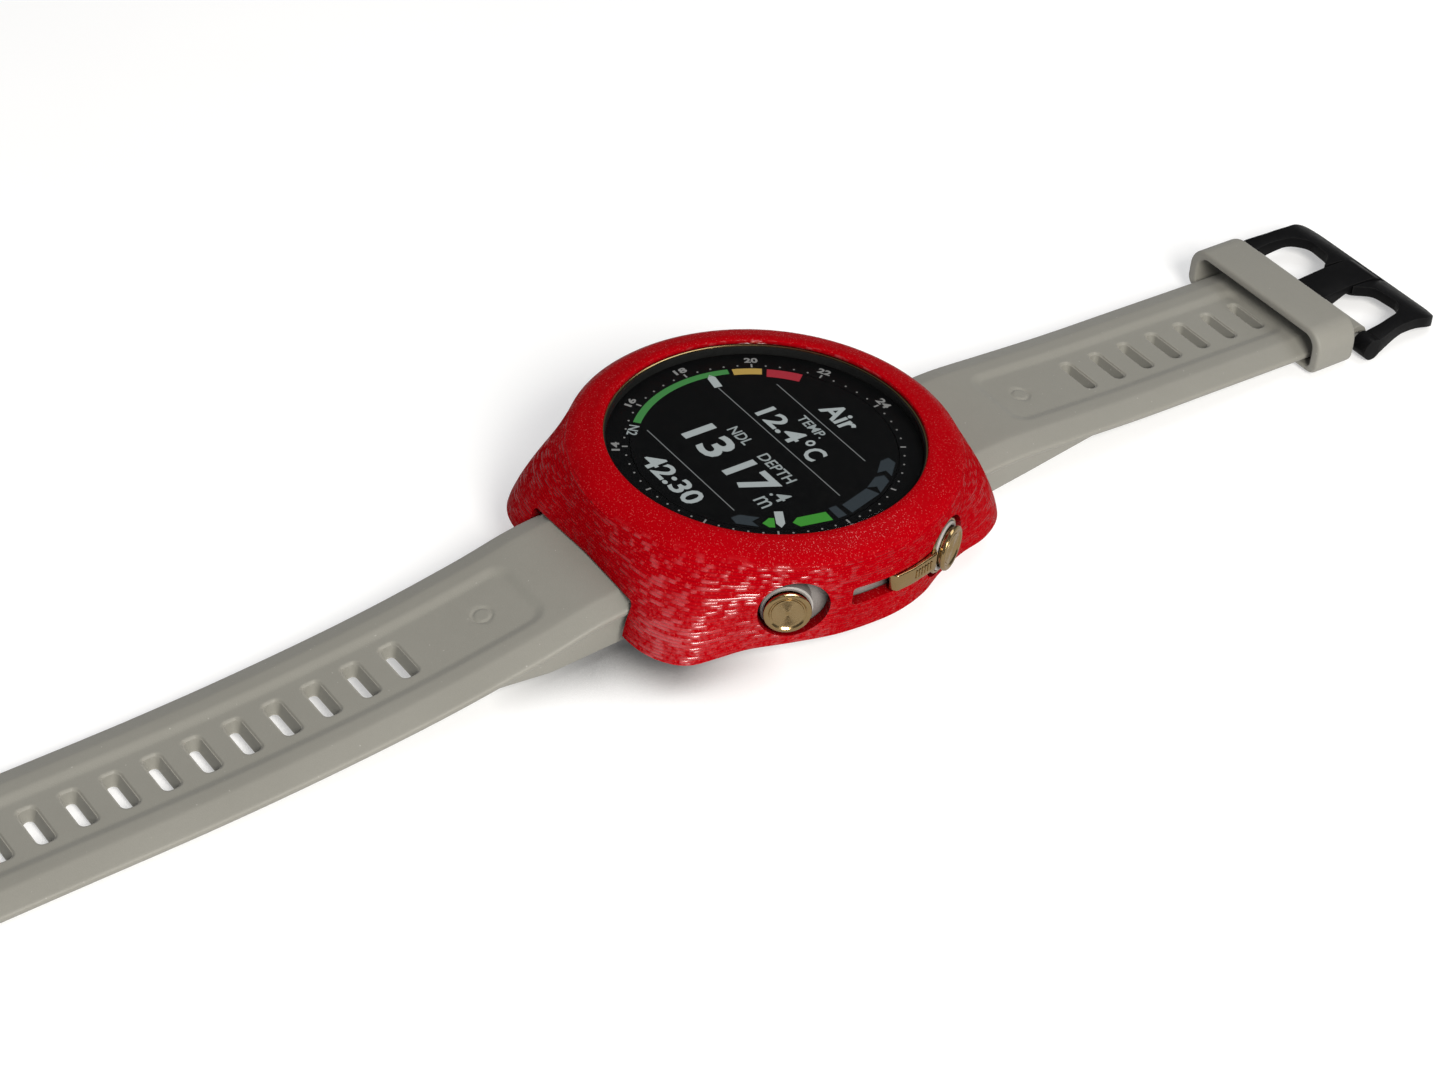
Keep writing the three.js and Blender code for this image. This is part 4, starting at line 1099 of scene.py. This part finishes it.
BIG = 0.022  # weights that thicken the strokes
READOUTS = [  # text, left, right, bottom, top, weight
    ("Air", -2.85, 2.25, 9.65, 12.5, BIG), ("12.4", -5.9, 1.05, 2.75, 5.5, BIG),
    ("°", 1.55, 2.6, 4.35, 5.6, 0.01), ("C", 3.0, 5.0, 2.75, 5.5, BIG), ("13", -6.75, -1.2, -7.0, -2.6, BIG),
    ("17", 1.3, 7.1, -7.0, -2.6, BIG), ("42:30", -5.1, 4.7, -13.95, -11.2, BIG),
]
SMALL = 0.008
LABELS = [
    ("TEMP.", -2.7, 1.9, 6.35, 7.65, SMALL), ("NDL", -4.85, -1.35, -1.9, -0.45, SMALL),
    ("DEPTH", 1.1, 7.0, -1.9, -0.45, SMALL), (".4", 7.5, 9.4, -4.8, -2.8, 0.012),
    ("m", 7.5, 9.35, -7.0, -5.4, 0.0), ("N2", -0.95, 0.95, -0.6, 0.6, 0.01, -45, (-10.1, -11.3)),
]
DOT_RING, MARK_INNER, MARK_OUTER, MARK_HALF = 16.0, 15.65, 16.3, 0.1
NUMERAL_RING = 17.05


def rules():
    half = 0.06
    spans = ((8.4, -9.3, 7.95), (2.0, -12.1, 11.75), (-9.88, -9.3, 8.0))
    return [ink([(a, y - half), (b, y - half), (b, y + half), (a, y + half)]) for y, a, b in spans]


def minute_track():
    """Dots at the minutes, longer marks at the hours, and even hours of a day in figures."""
    marks = []
    for k in range(60):
        angle = 6.0 * k
        if k % 5:
            centre = polar((DOT_RING, angle))[0]
            marks.append(ink([(centre[0] + x, centre[1] + y) for x, y, _ in circle(0.12, 0, 12)]))
        else:
            near, far = degrees(MARK_HALF / 15.3), degrees(MARK_HALF / DOT_RING)
            marks.append(ink_polar((MARK_INNER, angle - near), (MARK_OUTER, angle - far),
                                   (MARK_OUTER, angle + far), (MARK_INNER, angle + near)))
    for hours in (24, 22, 20, 18, 16, 14, 10, 8, 6):
        angle = 90 + 15 * (24 - hours)
        width = 1.7 if hours >= 10 else 0.85
        big = 1.1 if hours == 24 else 0.95
        marks.append(numeral(str(hours), NUMERAL_RING, angle, big, width * big))
    return marks


def chevron(start, end, inner, outer, point=3.2):
    """An arrow-shaped sector whose tip and tail point towards rising angles."""
    middle = (inner + outer) / 2
    return ink_polar((inner, start), (middle, start + point), (outer, start), (outer, end - point),
                     (middle, end), (inner, end - point))


def pointer(tip, root, angle, half):
    """A five-sided hand along a radius."""
    ahead = Vector(polar((1.0, angle))[0])
    side = Vector((-ahead.y, ahead.x)) * half
    root_end = ahead * root
    neck = ahead * (root + (tip - root) * 0.74)
    return ink([tuple(p) for p in (root_end - side, neck - side, ahead * tip, neck + side, root_end + side)])


screen_piece("readouts", "white", *[letters(*row) for row in READOUTS])
screen_piece("labels", "dim", *[letters(*row) for row in LABELS])
screen_piece("rules", "line", *rules())
screen_piece("minute_track", "mark", *minute_track())
screen_piece("pointers", "white", pointer(15.0, 12.4, 170.2, 0.5), pointer(15.0, 12.1, -28.3, 0.5))
screen_piece("tissue_green", "green", ink_polar(*sector(14.55, 15.45, 161, 222.3)))
screen_piece("tissue_yellow", "yellow", ink_polar(*sector(14.25, 15.4, 145.7, 159)))
screen_piece("tissue_red", "red", ink_polar(*sector(13.85, 15.35, 127.5, 143.5)))
screen_piece("ascent_green", "bright_green",
             ink_polar((13.4, -5.0), (15.0, -5.0), (15.0, -20.0), (14.2, -22.8), (13.4, -20.0)),
             ink_polar((13.3, -33.5), (14.3, -36.5), (14.95, -33.5), (14.95, -31.0), (13.3, -31.0)))
screen_piece("ascent_slate", "slate",
             ink_polar((13.0, 2.2), (15.0, 2.2), (15.0, -2.2), (13.0, -2.2)),
             chevron(5.2, 24.0, 13.3, 15.0, 0.01), chevron(25.0, 37.7, 13.3, 15.0),
             chevron(38.4, 51.6, 13.3, 15.0), chevron(-38.0, -50.9, 13.3, 14.95, -3.2))


# ---- case, case back and fittings

BACK_LOW, BACK_HIGH = extent("rear_cover")
SCREW_PITCH = 16.35  # from the watch's axis to each screw
PORT_ANGLE, PORT_Z = 14, 7.6  # the depth sensor's port in the case wall
CONTACT_Y, CONTACT_PITCH = -12.2, 1.9


def strap_notch():
    """Room for a rounded strap end between two lugs."""
    bite = rod("bite", 3.75, -10.05, 10.05, BAR_Y, BAR_Z, 48)
    return join(bite, box("way_out", (-10.05, 18.75, -1), (10.05, 30, 7.45)))


def button_bore(name):
    profile = [(0, 16.5), (0.9, 16.5), (0.9, 18.3), (1.55, 18.3), (1.55, 19.05), (0.9, 19.05), (0.9, 20.4),
               (2.45, 20.4), (2.45, 23.0), (2.6, 23.2), (2.6, 25), (0, 25)]
    return at_button(turned("bore", profile, 48), name)


def case_housing():
    """Case with rounded edges, lugs, and a collar around each button."""
    wall = [(17.75, 1.0), (18.9, 1.0), (19.6, 1.12), (20.6, 2.0), (21.15, 2.9), (21.3, 3.6), (21.3, 12.05),
            (21.15, 12.2), (17.8, 12.2), (17.8, 3.4), (14.0, 3.4), (14.0, 2.5), (17.75, 2.5)]
    case = turned("case_body", wall, 180)
    cut(case, strap_notch(), at_six(strap_notch()))
    collar = [(0, 19.4), (2.95, 19.4), (2.95, 23.0), (2.8, 23.15), (0, 23.15)]
    collars = [at_button(turned("collar", collar, 64), name) for name in BUTTONS]
    arms = [cut(lug, drum(19.5, -1, 20, 90)) for lug in lugs(0, 0.3)]
    join(case, *arms, *collars, *at_screws(1.25, 2.7, 5, 24))
    groove = turned("groove", [(14.6, 2.0), (15.4, 2.0), (15.4, 2.85), (14.6, 2.85)], 90)
    port = radial(drum(0.7, 16, 22, 24), PORT_ANGLE, PORT_Z)
    bars = [rotated(rod("bar_hole", 0.8, -11.8, 11.8, BAR_Y, BAR_Z), turn, "Z") for turn in (0, 180)]
    bores = [button_bore(name) for name in BUTTONS]
    return cut(case, groove, port, *at_screws(0.58, 2, 4.5, 16), *bars, *bores)


def at_screw(piece, index):
    return rotated(shifted(piece, SCREW_PITCH, 0, 0), 45 + 90 * index, "Z")


def at_screws(radius, low, high, segments):
    """A plain cylinder at each of the four screws."""
    return [at_screw(drum(radius, low, high, segments), k) for k in range(4)]


def rear_cover():
    """Back plate with a rounded rim, finely turned rings, and seats for the screws and contacts."""
    radius, low, high = BACK_HIGH.x, BACK_LOW.z, BACK_HIGH.z
    face = []
    for k in range(18):
        ring_radius = 10.2 + 0.28 * k
        face += [(ring_radius, low + 0.02), (ring_radius + 0.14, low)]
    profile = [(9.1, high), (9.1, low + 0.25), (9.3, low + 0.06), *face, (radius - 0.45, low),
               (radius - 0.2, low + 0.08), (radius - 0.05, low + 0.25), (radius, low + 0.45), (radius, high)]
    back = turned("back_plate", profile, 180)
    head = [(0, 0), (1.2, 0), (1.1, 1.1), (1.1, 1.7), (0, 1.7)]
    heads = [at_screw(turned("head", head, 32), k) for k in range(4)]
    seat = plate("seat", rounded_rect(4.2, 1.15, 0.5, 6, (0, CONTACT_Y)), 0, 3)
    return cut(back, *heads, *at_screws(0.65, 0, 3, 24), seat)


def rear_screw(index):
    """Domed head with a slot, on a plain shank."""
    low = BACK_LOW.z + 0.05
    profile = [(0, low), (0.6, low + 0.01), (0.88, low + 0.07), (1.0, low + 0.2), (1.0, low + 0.6),
               (0.5, low + 0.6), (0.5, 4.1), (0.3, 4.3), (0, 4.3)]
    screw = turned("screw_head_%d" % (index + 1), profile, 40)
    cut(screw, box("slot", (-1.2, -0.14, 0), (1.2, 0.14, low + 0.3)))
    return at_screw(screw, index)


def strap_latch(tilt):
    """Sliding latch with rounded edges and three grip ribs."""
    latch = plate("latch", rounded_rect(4.1, 5.2, 0.8, 5, (0, 26.6)), 0.9, 1.9, 0.15)
    tip = plate("tip", rounded_rect(4.0, 0.85, 0.2, 3, (0, 22.35)), 1.5, 2.3, 0.1)
    ribs = [plate("rib", rounded_rect(3.2, 0.25, 0.2, 4, (0, y)), 0.6, 1.2, 0.12) for y in (28.2, 29.4, 30.6)]
    return about_bar(join(latch, tip, *ribs), tilt)


def spring_bar():
    """Turned pin: a thicker body, a shoulder near each end and rounded tips."""
    reach = extent("spring_bar_12")[1].x
    half = [(0.75, 0), (0.75, 9.4), (0.62, 9.5), (0.62, 9.8), (0.75, 9.9), (0.75, 10.1), (0.5, 10.2),
            (0.5, reach - 0.15), (0.35, reach), (0, reach)]
    profile = [(r, -x) for r, x in reversed(half)] + half[1:]
    return shifted(rotated(turned("pin", profile, 32), 90, "Y"), 0, BAR_Y, BAR_Z)


def sensor_window():
    profile = [(0, 0), (6.2, 0), (6.7, 0.03), (7.2, 0.14), (8.6, 0.58), (8.82, 0.68), (8.9, 0.82),
               (8.9, 2.48), (10.2, 2.48), (10.2, 3.0), (8.4, 3.0), (8.4, 1.6), (0, 1.6)]
    return turned("window", profile, 128)


def buckle_pin():
    reach = extent("buckle_pin")[1].x
    half = [(0.75, reach - 0.15), (0.6, reach), (0, reach)]
    profile = [(r, -x) for r, x in reversed(half)] + half
    return shifted(rotated(turned("hinge_pin", profile, 32), 90, "Y"), 0, PIN_Y, PIN_Z)


def at_contact(piece, index):
    return shifted(piece, CONTACT_PITCH * (index - 1.5), CONTACT_Y, 0)


def contact_block():
    block = plate("contacts", rounded_rect(4.0, 0.95, 0.4, 6, (0, CONTACT_Y)), 1.15, 3.9, 0.1)
    return cut(block, *[at_contact(drum(0.44, 0, 6, 24), k) for k in range(4)])


def contact_pin(index):
    profile = [(0, 1.08), (0.2, 1.09), (0.32, 1.15), (0.36, 1.26), (0.36, 4.1), (0, 4.1)]
    return at_contact(turned("pogo_%d" % (index + 1), profile, 24), index)


def fittings():
    present(case_housing(), "grey_polymer", "case_housing")
    present(rear_cover(), "steel", "rear_cover")
    present(sensor_window(), "lens_glass", "optical_window", look=SENSOR_GLASS, sharp=25)
    present(contact_block(), "black_plastic", "contact_block")
    for index in range(4):
        present(rear_screw(index), "steel", "rear_screw_%d" % (index + 1), sharp=25)
        present(contact_pin(index), "gold_metal", "contact_pin_%d" % (index + 1), sharp=25)
    for hour, turn in (("12", 0), ("6", 180)):
        latch = rotated(strap_latch(LATCH_TILT[hour]), turn, "Z")
        present(latch, "black_plastic", "strap_latch_" + hour, body="strap_latch_" + hour)
        present(rotated(spring_bar(), turn, "Z"), "steel", "spring_bar_" + hour, sharp=25)
    present(buckle_pin(), "steel", "buckle_pin", body="strap_short", sharp=25)


fittings()


# ---- carried-over CAD nodes

def dress_cad_nodes():
    """Every CAD node that still shows gets its slot's material and smooth shading on its round faces."""
    for entry in frame["record"]["subparts"]:
        dress(frame["nodes"][entry["node"]], LOOKS[entry["material_slot"]], 30)


dress_cad_nodes()


# ---- stage: floor, light, camera

TABLE_SLOPE = (0.03, 0.0405)  # it rises towards the buckle: the head leans on its straps
TABLE_Z = -0.8
TABLE_REACH = 1500.0
SHADOW_AT = (12, -25)  # the middle of the contact shadow by the long strap's root
SINK = {"strap_long": 0.104, "strap_short": -0.082, "buckle_frame": -0.02}  # metres; see make_room_below
TENT_LIGHT = (0.36, 0.10)  # strength of the tent itself, and in reflections
CAMERA_AT = (0.2415, -0.1934, 0.2395)
CAMERA_TURN = (52.025, 52.08, 4.883)  # azimuth, tilt up from straight down, and roll, in degrees
FOCAL_LENGTH, SENSOR_WIDTH = 83.88, 36.0


def floor():
    """Pale paper that glows a little, so it stays white, with a soft contact shadow."""
    mesh = bpy.data.meshes.new("floor")
    points = []
    for sx, sy in ((-1, -1), (1, -1), (1, 1), (-1, 1)):
        x, y = sx * TABLE_REACH, sy * TABLE_REACH
        points.append(Vector((x, y, TABLE_SLOPE[0] * x + TABLE_SLOPE[1] * y + TABLE_Z)) * MM)
    mesh.from_pydata(points, [], [(0, 1, 2, 3)])
    look = Look("paper")
    glossy = look.add("LightPath", output="Is Glossy Ray")
    corner = (SHADOW_AT[0] * MM, SHADOW_AT[1] * MM, 0.0)
    near = look.span(look.compare("DISTANCE", look.place, corner), 5 * MM, 17 * MM, 1.0, 0.0)
    shadow = look.times(look.span(look.open_sky(12, 8), 0.2, 0.85, 1.0, 0.0), near)
    tone = look.mix(look.noise(30.0, 2.0), (0.62, 0.62, 0.625), (0.65, 0.65, 0.655))
    tone = look.mix(shadow, tone, (0.16, 0.16, 0.16))
    tone = look.mix(glossy, tone, (0.3, 0.3, 0.3))
    look.set(Base_Color=tone, Roughness=0.9, Normal=look.bump(look.noise(0.8, 3.0), 0.01))
    glow = look.times(look.span(shadow, 0.0, 1.0, 0.40, 0.04), look.rest(glossy))
    glow = look.plus(glow, look.times(glossy, 0.15))
    look.set(Emission_Color=(1.0, 1.0, 1.0), Emission_Strength=glow, Specular_IOR_Level=0.0)
    mesh.materials.append(look.material)
    piece = placed("floor", mesh)
    return piece


def make_room_below(table):
    """The table sinks by a body's reach in metres times the sine of its turn, so that what turns down stays
    in sight. The reach has the sign of the turn that leads down."""
    drive = table.driver_add("location", 2).driver
    drive.type = "SCRIPTED"
    for body in SINK:
        variable = drive.variables.new()
        variable.name = body
        variable.type = "TRANSFORMS"
        variable.targets[0].id = frame["bodies"][body]
        variable.targets[0].transform_type = "ROT_X"
    drops = ", ".join("%g * sin(%s)" % (reach, body) for body, reach in SINK.items())
    drive.expression = "-max(0, %s)" % drops


def softbox(name, place, size, watts, tint=(1.0, 1.0, 1.0)):
    lamp = bpy.data.lights.new(name, "AREA")
    lamp.shape = "RECTANGLE"
    lamp.size, lamp.size_y = size
    lamp.energy = watts
    lamp.color = tint
    holder = placed(name, lamp)
    holder.location = place
    holder.rotation_euler = (-Vector(place)).to_track_quat("-Z", "Y").to_euler()


def lighting():
    """A white tent. Reflections see it darker, as in a room lit by a few lamps."""
    world = bpy.data.worlds.new("studio")
    world.use_nodes = True
    nodes, links = world.node_tree.nodes, world.node_tree.links
    tent = nodes["Background"]
    tent.inputs["Color"].default_value = (0.97, 0.985, 1.0, 1.0)
    rays = nodes.new("ShaderNodeLightPath")
    dim = nodes.new("ShaderNodeMapRange")
    dim.inputs["To Min"].default_value, dim.inputs["To Max"].default_value = TENT_LIGHT
    links.new(rays.outputs["Is Glossy Ray"], dim.inputs["Value"])
    links.new(dim.outputs["Result"], tent.inputs["Strength"])
    bpy.context.scene.world = world
    softbox("key", (0.58, -0.14, 0.46), (0.30, 0.30), 6.8, tint=(1.0, 0.97, 0.91))
    softbox("overhead", (-0.05, 0.30, 0.60), (0.4, 0.3), 0.8)


def camera():
    azimuth, tilt, roll = CAMERA_TURN
    data = bpy.data.cameras.new("camera")
    data.lens = FOCAL_LENGTH
    data.sensor_width = SENSOR_WIDTH
    data.clip_start = 0.01
    holder = placed("camera", data)
    holder.matrix_world = Matrix.Translation(CAMERA_AT)
    for axis, angle in (("Z", azimuth), ("X", tilt), ("Z", roll)):
        holder.matrix_world = holder.matrix_world @ Matrix.Rotation(radians(angle), 4, axis)
    bpy.context.scene.camera = holder


make_room_below(floor())
lighting()
camera()
bpy.context.scene.view_settings.view_transform = "Standard"
